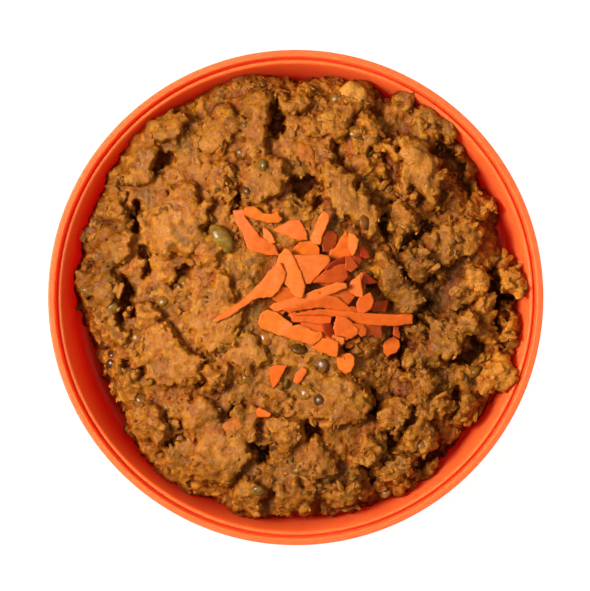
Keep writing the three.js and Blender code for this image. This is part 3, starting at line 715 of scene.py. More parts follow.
def slabs(x, y, pitch, seed):
    """Overlapping tilted lumps with flat tops and steep sides, in pitches of height."""
    i, j = np.floor(x / pitch), np.floor(y / pitch)
    best = np.full_like(x, -FAR_OFF)
    for a in range(-2, 3):
        for b in range(-2, 3):
            p, q = i + a, j + b
            dx = x / pitch - (p + hash2(p, q, seed))
            dy = y / pitch - (q + hash2(p, q, seed + 1))
            stand = SLAB_STAND * hash2(p, q, seed + 2)
            lean = dx * (hash2(p, q, seed + 3) - 0.5) + dy * (hash2(p, q, seed + 4) - 0.5)
            best = np.maximum(best, stand + SLAB_TILT * lean - SLAB_DROP * (dx * dx + dy * dy) ** 2)
    return best


def slab_relief(x, y, kind, rough):
    pitch, seed, least, more = kind
    return (slabs(x, y, pitch, seed) - SLAB_MEAN) * (least + more * rough)


def bed(x, y):
    """1 where the pile of carrot lies on the mash and presses it flat, 0 away from it."""
    return np.maximum(ramp(inside(x, y, PILE_BED), 0, BED_EDGE), ramp(inside(x, y, BAR_BED), 0, BED_EDGE))


def plateau(x, y):
    """1 on the smooth tops of the largest lumps, 0 elsewhere."""
    wx, wy = shifted(x, y, LUMP_TEARS)
    found = np.zeros_like(x)
    for lump in LUMPS:
        if lump[2] * lump[3] > LARGE_LUMP:
            found = np.maximum(found, ramp(inside(wx, wy, lump), 0.08, 0.3))
    return found


def form(x, y):
    """The heap with its lumps and hollows, without crumbs."""
    wx, wy = shifted(x, y, LUMP_TEARS)
    z = heap_height(*shifted(x, y, HEAP_TEARS))
    along = math.cos(SLAB_TURN) * wx + math.sin(SLAB_TURN) * wy
    across = math.cos(SLAB_TURN) * wy - math.sin(SLAB_TURN) * wx
    rough = ramp(drift(x, y, ROUGH_PITCH, 7) + x / ROUGH_REACH, -0.6, 0.6)
    right = ramp(x, *RIGHT_SIDE)
    torn = slab_relief(along / SLAB_STRETCH, across, LONG_SLABS, rough)
    torn += slab_relief(wx, wy, SMALL_SLABS, rough)
    relief = slab_relief(wx, wy, BROAD_SLABS, rough) + torn * (1 - PLATEAU_CALM * plateau(x, y))
    highest = np.zeros_like(x)
    for lump in LUMPS:
        t = inside(wx, wy, lump)
        crown = LUMP_RELIEF * lump[5] * (1 - LUMP_ROUND + LUMP_ROUND * t)
        highest = np.maximum(highest, ramp(t, 0, LUMP_SIDE) * (crown + LUMP_LEAN * (wx - lump[0])))
    relief = (relief + highest - RIGHT_FALL * right) * (1 + RIGHT_RELIEF * right)
    for pit in HOLLOWS:
        relief -= PIT_RELIEF * pit[5] * ramp(inside(wx, wy, pit), 0, PIT_SIDE)
    pressed = bed(x, y)
    z = z + relief * (1 - BED_CALM * pressed) - BED_DEPTH * pressed
    over = np.maximum(0, z - SOFT_TOP)
    return z - over + TOP_SPAN * np.tanh(over / TOP_SPAN)


def mash_height(x, y):
    """The heap torn into crumbs, each near the height of its own middle."""
    z = WHOLE_SHARE * form(x, y)
    for pitch, seed, share, step in CRUMBS:
        middle_x, middle_y, off, number = crumb(x, y, pitch, seed)
        z = z + share * form(middle_x, middle_y) + step * (number - 0.5 - CRUMB_ROUND * off * off)
    return z


def ring_start(k):
    """Number of the first point of ring k, where ring k has 6k points round a middle one."""
    return 1 + 3 * k * (k - 1) if k else 0


def column():
    """The heap as a column, on a round grid."""
    points = [np.zeros((1, 2))]
    for k in range(1, COLUMN_RINGS + 1):
        angles = 2 * math.pi * np.arange(6 * k) / (6 * k)
        turns = np.where(angles > math.pi, angles - 2 * math.pi, angles)
        radius = (edge_radius(turns) + COLUMN_OVERRUN) * k / COLUMN_RINGS
        points.append(np.stack([radius * np.cos(angles), radius * np.sin(angles)], axis=1))
    flat = np.concatenate(points)
    height = np.maximum(mash_height(flat[:, 0], flat[:, 1]), COLUMN_BOTTOM + COLUMN_LEAST)
    top = np.column_stack([flat, height])
    faces = []
    for k in range(1, COLUMN_RINGS + 1):
        for side in range(6):
            i = np.arange(k)
            outer = ring_start(k) + (side * k + np.append(i, k)) % (6 * k)
            inner = ring_start(k - 1) + (side * (k - 1) + i) % max(1, 6 * (k - 1))
            faces.append(np.stack([inner[i], outer[i], outer[i + 1]], axis=1))
            if k > 1:
                j = i[:-1]
                faces.append(np.stack([inner[j], outer[j + 1], inner[j + 1]], axis=1))
    last = np.arange(6 * COLUMN_RINGS)
    rim, base = ring_start(COLUMN_RINGS) + last, len(top) + last
    after = np.roll(last, -1)
    middle = len(top) + len(last)
    low = np.column_stack([flat[rim] * COLUMN_TAPER, np.full(len(last), COLUMN_BOTTOM)])
    faces.append(np.stack([rim, base, base[after]], axis=1))
    faces.append(np.stack([rim, base[after], rim[after]], axis=1))
    faces.append(np.stack([np.full(len(last), middle), base[after], base], axis=1))
    return np.concatenate([top, low, [[0, 0, COLUMN_BOTTOM]]]), np.concatenate(faces)


def torn_clods():
    """Torn clods of mash, half sunk in the heap, most of them on the right."""
    rng = np.random.default_rng(11)
    steps = np.arange(-CLOD_REACH, CLOD_REACH, CLOD_PITCH)
    x, y = (g.ravel() + rng.uniform(-0.5, 0.5, g.size) * CLOD_PITCH for g in np.meshgrid(steps, steps))
    keep = np.hypot(x, y) < edge_radius(np.arctan2(y, x)) - CLOD_MARGIN
    x, y = x[keep], y[keep]
    chosen = rng.random(len(x)) < CLOD_SHARE * (0.35 + 0.65 * ramp(x + 0.3 * np.abs(y), -25, 30))
    chosen &= (bed(x, y) < BED_LIMIT) & (rng.random(len(x)) > plateau(x, y))
    x, y = x[chosen], y[chosen]
    size = SMALLEST_CLOD + (LARGEST_CLOD - SMALLEST_CLOD) * rng.random(len(x)) ** 2
    radii = size[:, None] * rng.uniform(0.65, 1.35, (len(x), 3))
    z = mash_height(x, y) - CLOD_SINK * size + 0.3 * size * rng.normal(size=len(x))
    return lumpy_balls(block(4), np.stack([x, y, z], axis=1), radii, spins(len(x), rng), rng, 0.35, 0.6)


def keep_in_bowl(points):
    """Draws points in from the bowl's wall."""
    radius = np.hypot(points[:, 0], points[:, 1])
    limit = np.minimum(wall_radius(points[:, 2]), LIP_EDGE) - STEW_GAP
    points[:, :2] *= np.minimum(1, limit / np.maximum(radius, 1e-6))[:, None]


def fused_stew():
    """Column and clods fused into one skin, then roughened at the size of crumbs."""
    column_points, column_faces = column()
    clod_points, clod_faces = torn_clods()
    piece = mesh_object("stew_mash", np.concatenate([column_points, clod_points]),
                        np.concatenate([column_faces, clod_faces + len(column_points)]))
    fuse = piece.modifiers.new("fuse", "REMESH")
    fuse.mode = "VOXEL"
    fuse.voxel_size = SKIN_VOXEL * MM
    apply_modifiers(piece)
    roughen(piece)
    thin = piece.modifiers.new("thin", "DECIMATE")
    triangles = sum(len(p.vertices) - 2 for p in piece.data.polygons)
    thin.ratio = min(1.0, SKIN_TRIANGLES / triangles)
    apply_modifiers(piece)
    piece.data.polygons.foreach_set("use_smooth", np.full(len(piece.data.polygons), True))
    return piece


def ridges3(points, pitch, seed):
    """Noise in space with sharp crests, from 0 to 1."""
    return 1 - np.abs(noise3(points, pitch, seed))


def roughen(piece):
    """Crumbs and torn edges in relief, on what shows of the heap."""
    mesh = piece.data
    points = mesh_points(mesh)
    normals = mesh_normals(mesh)
    shown = ramp(points[:, 2], SHOWN_LOW, SHOWN_HIGH) * (1 - 0.6 * bed(points[:, 0], points[:, 1]))
    some = np.where(shown > 0)[0]
    p = points[some]
    torn = 0.55 + 0.45 * ramp(noise3(p, 14, 37) + p[:, 0] / 60, -0.6, 0.6)
    crumbly = ramp(noise3(p, 5, 51) + 0.5 * noise3(p, 2, 52) + 0.5 * torn, -0.4, 0.4)
    warped = p + 0.8 * shift3(p, 2.4, 31)
    nearest, second, block_number = cells3(warped, 2.7, 55)
    chip_number = cells3(p + 0.35 * shift3(p, 1.2, 34), 1.3, 59)[2]
    # Ridges of three sizes: pitch, seed and relief.
    ridges = [(4.4, 41, 0.75 * torn), (2.1, 42, 0.25 + 0.5 * crumbly), (1.1, 43, 0.3)]
    relief = sum(height * (ridges3(warped, pitch, seed) ** 2 - 0.45) for pitch, seed, height in ridges)
    # Creases between blocks of mash, then steps from one block or chip to the next.
    relief -= 0.12 * crumbly * ramp(second - nearest, 0.15, 0)
    relief += (0.3 + 0.7 * crumbly) * (0.4 * (block_number - 0.5) + 0.25 * (chip_number - 0.5))
    relief *= 1 - 0.4 * plateau(p[:, 0], p[:, 1])
    points[some] += normals[some] * (relief * shown[some])[:, None]
    points[:, 2] = np.minimum(points[:, 2], PILE_TOP - TOP_GAP)
    keep_in_bowl(points)
    mesh.vertices.foreach_set("co", (points * MM).astype(np.float32).ravel())
    mesh.update()


# ---------------------------------------------------------------- stew: its colours

OCHRE = np.array((0.280, 0.091, 0.0054))
PALE = np.array((0.345, 0.124, 0.0100))
TAN = np.array((0.395, 0.160, 0.017))
YELLOW = np.array((0.43, 0.172, 0.008))
AMBER = np.array((0.26, 0.067, 0.0025))
MAUVE = np.array((0.24, 0.092, 0.013))
OLIVE = np.array((0.14, 0.064, 0.005))
BROWN = np.array((0.13, 0.042, 0.004))
RUST = np.array((0.30, 0.056, 0.0022))
# Painted light and shade: a dark colour for hollows, a highlight for crests and a shade for pits.
HOLLOW_SHADE = np.array((0.13, 0.020, 0.0008))
CREST_HIGHLIGHT = 1.1 * TAN
PIT_SHADE = 0.7 * RUST
# Painted shade for the mash under the pile, between the shreds.
UNDER_PILE_SHADE = 0.9 * RUST


def blend(first, second, share):
    return first * (1 - share[:, None]) + second * share[:, None]


RELIEF_REACH = 95


class Relief:
    """How high each place stands over the ground round it, on a millimetre grid."""

    def __init__(self, points):
        side = 2 * RELIEF_REACH
        grid = np.full((side, side), np.nan)
        i, j = self.cell(points[:, 0], points[:, 1])
        order = np.argsort(points[:, 2])
        grid[i[order], j[order]] = points[order, 2]
        grid = np.where(np.isnan(grid), np.nanmedian(grid), grid)
        self.near, self.wide = self.blurred(grid, 1), self.blurred(grid, 6)

    @staticmethod
    def blurred(grid, passes):
        side = len(grid)
        for _ in range(passes):
            padded = np.pad(grid, 1, mode="edge")
            grid = sum(padded[a:a + side, b:b + side] for a in range(3) for b in range(3)) / 9
        return grid

    @staticmethod
    def cell(x, y):
        top = 2 * RELIEF_REACH - 1
        return tuple(np.clip((v + RELIEF_REACH).astype(int), 0, top) for v in (x, y))

    def above(self, points):
        """Height over the mean of the centimetre round each point, and over that of its 3 mm."""
        i, j = self.cell(points[:, 0], points[:, 1])
        return points[:, 2] - self.wide[i, j], points[:, 2] - self.near[i, j]


# Patches where the whole mash is lighter or darker, partly its own tone and partly painted light and shade:
# the dark patch right of the pile is painted shadow of the pile and its deep gaps, and the light one at the
# right edge is painted light. Ovals as above, and the share by which it differs.
LIGHT_AND_SHADE_PATCHES = [
    (45, 2, 17, 26, 0, -0.30), (-8, -64, 34, 15, 0, -0.14), (-78, 20, 18, 40, 0, -0.30),
    (-36, 4, 26, 40, 0, 0.12), (78, 4, 20, 60, 0, 0.34), (32, 60, 34, 22, -20, 0.14),
]
PATCH_EDGE = 0.8


def mash_colors(points, relief):
    """Ochre paste with patches of grey lentil, olive and rust, a painted highlight on high places and
    crests, and painted shade, dark rust-brown, in pits and hollows.
    """
    x, y = points[:, 0], points[:, 1]
    torn = points + 0.9 * shift3(points, 2.2, 61)
    clod, bit = cells3(torn, 4.6, 64)[2], cells3(torn, 2.1, 71)[2]
    height, fine = relief.above(points)
    # Each colour over those before it: its full share, and the value over whose range it comes in.
    layers = [
        (PALE, 1, noise3(points, 9, 65) + 0.7 * noise3(points, 2.6, 66), (-0.5, 0.7)),
        (MAUVE, 0.35, clod + 0.3 * noise3(points, 2, 67), (0.72, 0.92)),
        (AMBER, 0.6, 1 - clod + 0.3 * noise3(points, 2, 68), (0.8, 0.95)),
        (OLIVE, 0.6, noise3(torn, 11, 72) + 0.6 * noise3(torn, 3.5, 69), (0.15, 0.7)),
        (RUST, 0.45, noise3(torn, 6, 70), (0.45, 0.75)),
        (YELLOW, 0.7, bit, (0.78, 0.86)),
        (BROWN, 0.6, 1 - bit, (0.86, 0.95)),
        # The last four layers are painted light and shade: a painted highlight on high places and crests,
        # painted shade in pits and hollows.
        (TAN, 0.45 + 0.25 * ramp(x, 0, 30), height, (0.2, 2.2)),
        (CREST_HIGHLIGHT, 0.45, fine, (0.0, 0.8)),
        (PIT_SHADE, 0.5, fine, (-0.5, -1.8)),
        (HOLLOW_SHADE, 0.9, height, (-0.2, -3.8)),
    ]
    color = np.tile(OCHRE, (len(points), 1))
    for layer, share, value, span in layers:
        color = blend(color, layer, share * ramp(value, *span))
    # Painted shade: the mash under the pile is darkened to red-brown, where shade falls between the shreds.
    color = blend(color, UNDER_PILE_SHADE, 0.65 * bed(x, y))
    # Painted light and shade in patches, over the mash's own tone.
    for patch in LIGHT_AND_SHADE_PATCHES:
        color = color * (1 + patch[5] * ramp(inside(x, y, patch), 0, PATCH_EDGE))[:, None]
    return color


def mash_material():
    specks = [(0.0, (0.86, 0.76, 0.62)), (0.1, (0.95, 0.92, 0.9)), (0.6, (0.94, 0.9, 0.88)),
              (0.8, (1, 1, 1)), (0.94, (1, 0.94, 0.78))]
    return food_material(
        "mash", (0.22, 0.6), [(420, (0.88, 0.82, 0.74))], [(900, 0.2), (2600, 0.1)],
        crumbs=[(620, 0.15, specks), (1300, 0.1, specks)],
        subsurface=0.4, scatter=(1, 0.28, 0.06), depth=0.0012, specular=0.16)


# ---------------------------------------------------------------- stew: what lies in it

def dress(piece, material, node):
    """Gives a piece its material, its body and the node that it stands for."""
    piece.data.materials.clear()
    piece.data.materials.append(material)
    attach(piece, "root")
    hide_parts(node)


SHOWN_HEIGHT = 34  # above which places on the mash can be seen
LEAST_UP = 0.1  # how far up a place faces for something to be set on it
RAY_TOP = 200  # from where rays are cast down on it


class Ground:
    """The finished mash, to set things down on."""

    def __init__(self, piece):
        self.points = mesh_points(piece.data)
        self.normals = mesh_normals(piece.data)
        self.relief = Relief(self.points)
        triangles = [tuple(p.vertices) for p in piece.data.polygons]
        self.tree = BVHTree.FromPolygons([tuple(v) for v in self.points], triangles)

    def under(self, x, y):
        """Place and normal of the surface under a point, seen from above."""
        place, normal, _, _ = self.tree.ray_cast(Vector((x, y, RAY_TOP)), Vector((0, 0, -1)))
        return np.array(place), np.array(normal)

    def pick(self, count, rng, margin=3.0):
        """Random places on what shows of the surface."""
        x, y, z = self.points.T
        shown = (z > SHOWN_HEIGHT) & (bed(x, y) < BED_LIMIT) & (self.normals[:, 2] > LEAST_UP)
        for place in CLEAR:
            shown &= inside(x, y, place) == 0
        edge = np.minimum(wall_radius(z), LIP_EDGE)
        return rng.choice(np.where(shown & (np.hypot(x, y) < edge - margin))[0], count, replace=False)


# Whole lentils and peas that show best: x, y, half width.
LENTILS = [
    (-9, 73, 3), (-12.5, 47.5, 2.5), (-20, 52, 2.5), (-66.5, -3.5, 2.4), (-57, -14, 3),
    (-48.5, -1, 2.6), (-41, 6, 2.4), (-17, -30, 3.2), (-11, -14.5, 3), (1, -18, 3.2),
    (8.5, -24.5, 3.4), (27, -20, 2.8), (39, -26, 2.8), (-56, -37, 2.6), (-43, -51.5, 2.6),
    (3.5, -34, 3), (8, -37, 2.4), (-3, -31, 2.6), (0, -62, 2.4), (28, -65, 2.6), (33, -71.5, 2.6),
    (25, 27, 3), (66, -27.5, 2.8), (80, -16.5, 2.2), (-14, -70, 2.6),
]
DARK_LENTILS = [(-70.3, -17.2, 2.4), (-67, -20.3, 2.2), (-67.6, -25.2, 2.6)]
DARK_LENTIL = np.array((0.055, 0.014, 0.003))
PEA_PLACE = (-26.5, 21.5, 3.4)
PEA_SHAPE = (1.75, 1.0, 0.75)  # its half axes, in its half width
PEA_TURN = -55  # degrees from the right to its long axis
LENTIL_COLORS = np.array([
    (0.20, 0.080, 0.008), (0.18, 0.070, 0.006), (0.13, 0.046, 0.005), (0.15, 0.078, 0.009),
    (0.20, 0.062, 0.005), (0.09, 0.030, 0.004),
])
PEA = np.array((0.17, 0.090, 0.010))
MORE_LENTILS = 90  # at random places
LISTED_SINK = 0.12  # how deep a listed lentil is sunk, in its half width


def make_lentils(ground):
    """Lentils: flat round beans, sunk in the mash at all angles, and one pea."""
    rng = np.random.default_rng(21)
    placed = [(*ground.under(x, y), half) for x, y, half in LENTILS + DARK_LENTILS + [PEA_PLACE]]
    extra = ground.pick(MORE_LENTILS, rng)
    centres = np.concatenate([[p for p, _, _ in placed], ground.points[extra]])
    normals = np.concatenate([[n for _, n, _ in placed], ground.normals[extra]])
    half = np.concatenate([[h for _, _, h in placed], rng.uniform(1.9, 2.7, len(extra))])
    normals[:, 2] += 0.6
    sink = np.concatenate([np.full(len(placed), LISTED_SINK), rng.uniform(0.25, 0.6, len(extra))])
    radii = half[:, None] * np.stack([np.ones_like(half), rng.uniform(0.9, 1, len(half)),
                                      rng.uniform(0.45, 0.6, len(half))], axis=1)
    centres = centres - normals * (sink * half)[:, None]
    turns = facing(normals, rng, 0.7)
    pea = len(placed) - 1
    c, s = math.cos(math.radians(PEA_TURN)), math.sin(math.radians(PEA_TURN))
    radii[pea] = half[pea] * np.array(PEA_SHAPE)
    turns[pea] = [(c, -s, 0), (s, c, 0), (0, 0, 1)]
    template = ball(3)
    vertices, faces = lumpy_balls(template, centres, radii, turns, rng, 0.05)
    keep_in_bowl(vertices)
    piece = mesh_object("lentils", vertices, faces)
    colors = LENTIL_COLORS[rng.integers(0, len(LENTIL_COLORS), len(centres))]
    colors[len(LENTILS):pea] = DARK_LENTIL
    colors[pea] = PEA
    colors = colors * rng.uniform(0.95, 1.4, (len(centres), 1))
    paint(piece, np.repeat(colors, len(template[0]), axis=0))
    skin = food_material("lentil_skin", (0.14, 0.26), [(500, (0.6, 0.5, 0.4))], [(500, 0.2)],
                         subsurface=0.1, specular=0.25)
    dress(piece, skin, "stew")


MASH_CRUMBS = 800
FLAKE_TRIES, FLAKES = 6000, 2300
LOOSE_MARGIN = 2.0  # how far crumbs and flakes stay from the bowl
LENTIL_SKINS = 0.08  # share of the flakes that are bits of lentil skin


def make_crumbs(ground, material):
    """Loose crumbs of mash, from grains to small clods."""
    rng = np.random.default_rng(23)
    chosen = ground.pick(MASH_CRUMBS, rng, LOOSE_MARGIN)
    size = 0.35 + 0.8 * rng.random(len(chosen)) ** 2.5
    radii = size[:, None] * rng.uniform(0.45, 1.5, (len(chosen), 3))
    centres = ground.points[chosen] - ground.normals[chosen] * (0.1 * size)[:, None]
    template = ball(2)
    vertices, faces = lumpy_balls(template, centres, radii, spins(len(chosen), rng), rng, 0.7, 0.6)
    keep_in_bowl(vertices)
    piece = mesh_object("mash_crumbs", vertices, faces)
    colors = mash_colors(centres, ground.relief) * rng.uniform(0.75, 1.25, (len(chosen), 1))
    paint(piece, np.repeat(colors, len(template[0]), axis=0))
    dress(piece, material, "stew")


def make_flakes(ground, material):
    """Torn flakes and lumps of the mash, most of them where it is rough."""
    rng = np.random.default_rng(29)
    tried = ground.pick(FLAKE_TRIES, rng, LOOSE_MARGIN)
    place = ground.points[tried]
    rough = noise3(place, 9, 101) + 0.5 * noise3(place, 3.5, 102) + 0.3 * place[:, 0] / 60
    rough = ramp(rough, -0.5, 0.5) * (1 - 0.8 * plateau(place[:, 0], place[:, 1]))
    chosen = tried[rng.random(len(tried)) < 0.03 + 0.4 * rough][:FLAKES]
    count = len(chosen)
    centres, normals = ground.points[chosen], ground.normals[chosen]
    length = 0.9 + 2.1 * rng.random(count) ** 1.8
    radii = length[:, None] * np.stack([np.ones(count), rng.uniform(0.35, 0.7, count),
                                        rng.uniform(0.2, 0.42, count)], axis=1)
    centres = centres - normals * (rng.uniform(0.0, 0.25, count) * length)[:, None]
    template = block(2, 4)
    vertices, faces = lumpy_balls(template, centres, radii, facing(normals, rng, 0.8), rng, 0.45, 0.5)
    keep_in_bowl(vertices)
    piece = mesh_object("mash_flakes", vertices, faces, smooth_shaded=False)
    colors = blend(mash_colors(centres, ground.relief), TAN, rng.uniform(0.1, 0.8, count))
    colors *= rng.uniform(0.85, 1.15, (count, 1))
    skins = rng.random(count) < LENTIL_SKINS
    colors[skins] = OLIVE * rng.uniform(0.8, 1.3, (skins.sum(), 1))
    paint(piece, np.repeat(colors, len(template[0]), axis=0))
    dress(piece, material, "stew")


# Pieces that stand out of the mash: x, y, half length, half width, half thickness, angle, kind.
CHUNKS = [
    (20, 72, 8, 6, 4, 65, "potato"), (11, 63, 5.5, 4, 3.5, 40, "potato"),
    (4, 51, 6, 3.8, 3.2, -75, "carrot"), (-60, 12, 5.2, 4.2, 3.6, 60, "carrot"),
    (-7, 31, 3, 2.2, 2, 20, "carrot"), (-24, 40, 3.2, 2.2, 2, -50, "carrot"),
    (57, 34, 3.5, 2.4, 2.2, 30, "carrot"), (-27, 54, 3, 2, 2, 70, "carrot"),
    (-22, -46, 5, 3.4, 2.6, 20, "carrot"),
]
CHUNK_SINK = {"potato": 0.85, "carrot": 0.7}  # how deep a piece is sunk, in its half thickness
CHUNK_COLORS = {"potato": np.array((0.42, 0.172, 0.018)), "carrot": np.array((0.37, 0.098, 0.006))}


def make_chunks(ground, kind, name, seed):
    """Cooked vegetable of one kind in the mash, soft-edged and uneven."""
    rng = np.random.default_rng(seed)
    rows = [c for c in CHUNKS if c[6] == kind]
    angles = np.radians([c[5] for c in rows])
    turns = np.zeros((len(rows), 3, 3))
    turns[:, 0, 0], turns[:, 0, 1] = np.cos(angles), -np.sin(angles)
    turns[:, 1, 0], turns[:, 1, 1] = np.sin(angles), np.cos(angles)
    turns[:, 2, 2] = 1
    radii = np.array([c[2:5] for c in rows], float)
    centres = np.array([ground.under(c[0], c[1])[0] for c in rows])
    centres[:, 2] -= CHUNK_SINK[kind] * radii[:, 2]
    template = block(5, 3)
    vertices, faces = lumpy_balls(template, centres, radii, turns, rng, 0.22, 0.6)
    vertices[:, 2] += 0.25 * noise3(vertices, 1.6, seed)
    keep_in_bowl(vertices)
    piece = mesh_object(name, vertices, faces)
    shade = 1 + 0.3 * noise3(vertices, 3, seed + 1)
    paint(piece, CHUNK_COLORS[kind] * shade[:, None])
    flesh = food_material(name + "_flesh", (0.35, 0.6), [(500, (0.8, 0.7, 0.55))],
                          [(800, 0.4), (2200, 0.12)], subsurface=0.15, depth=0.001, specular=0.18)
    dress(piece, flesh, "stew")


# ---------------------------------------------------------------- grated carrot

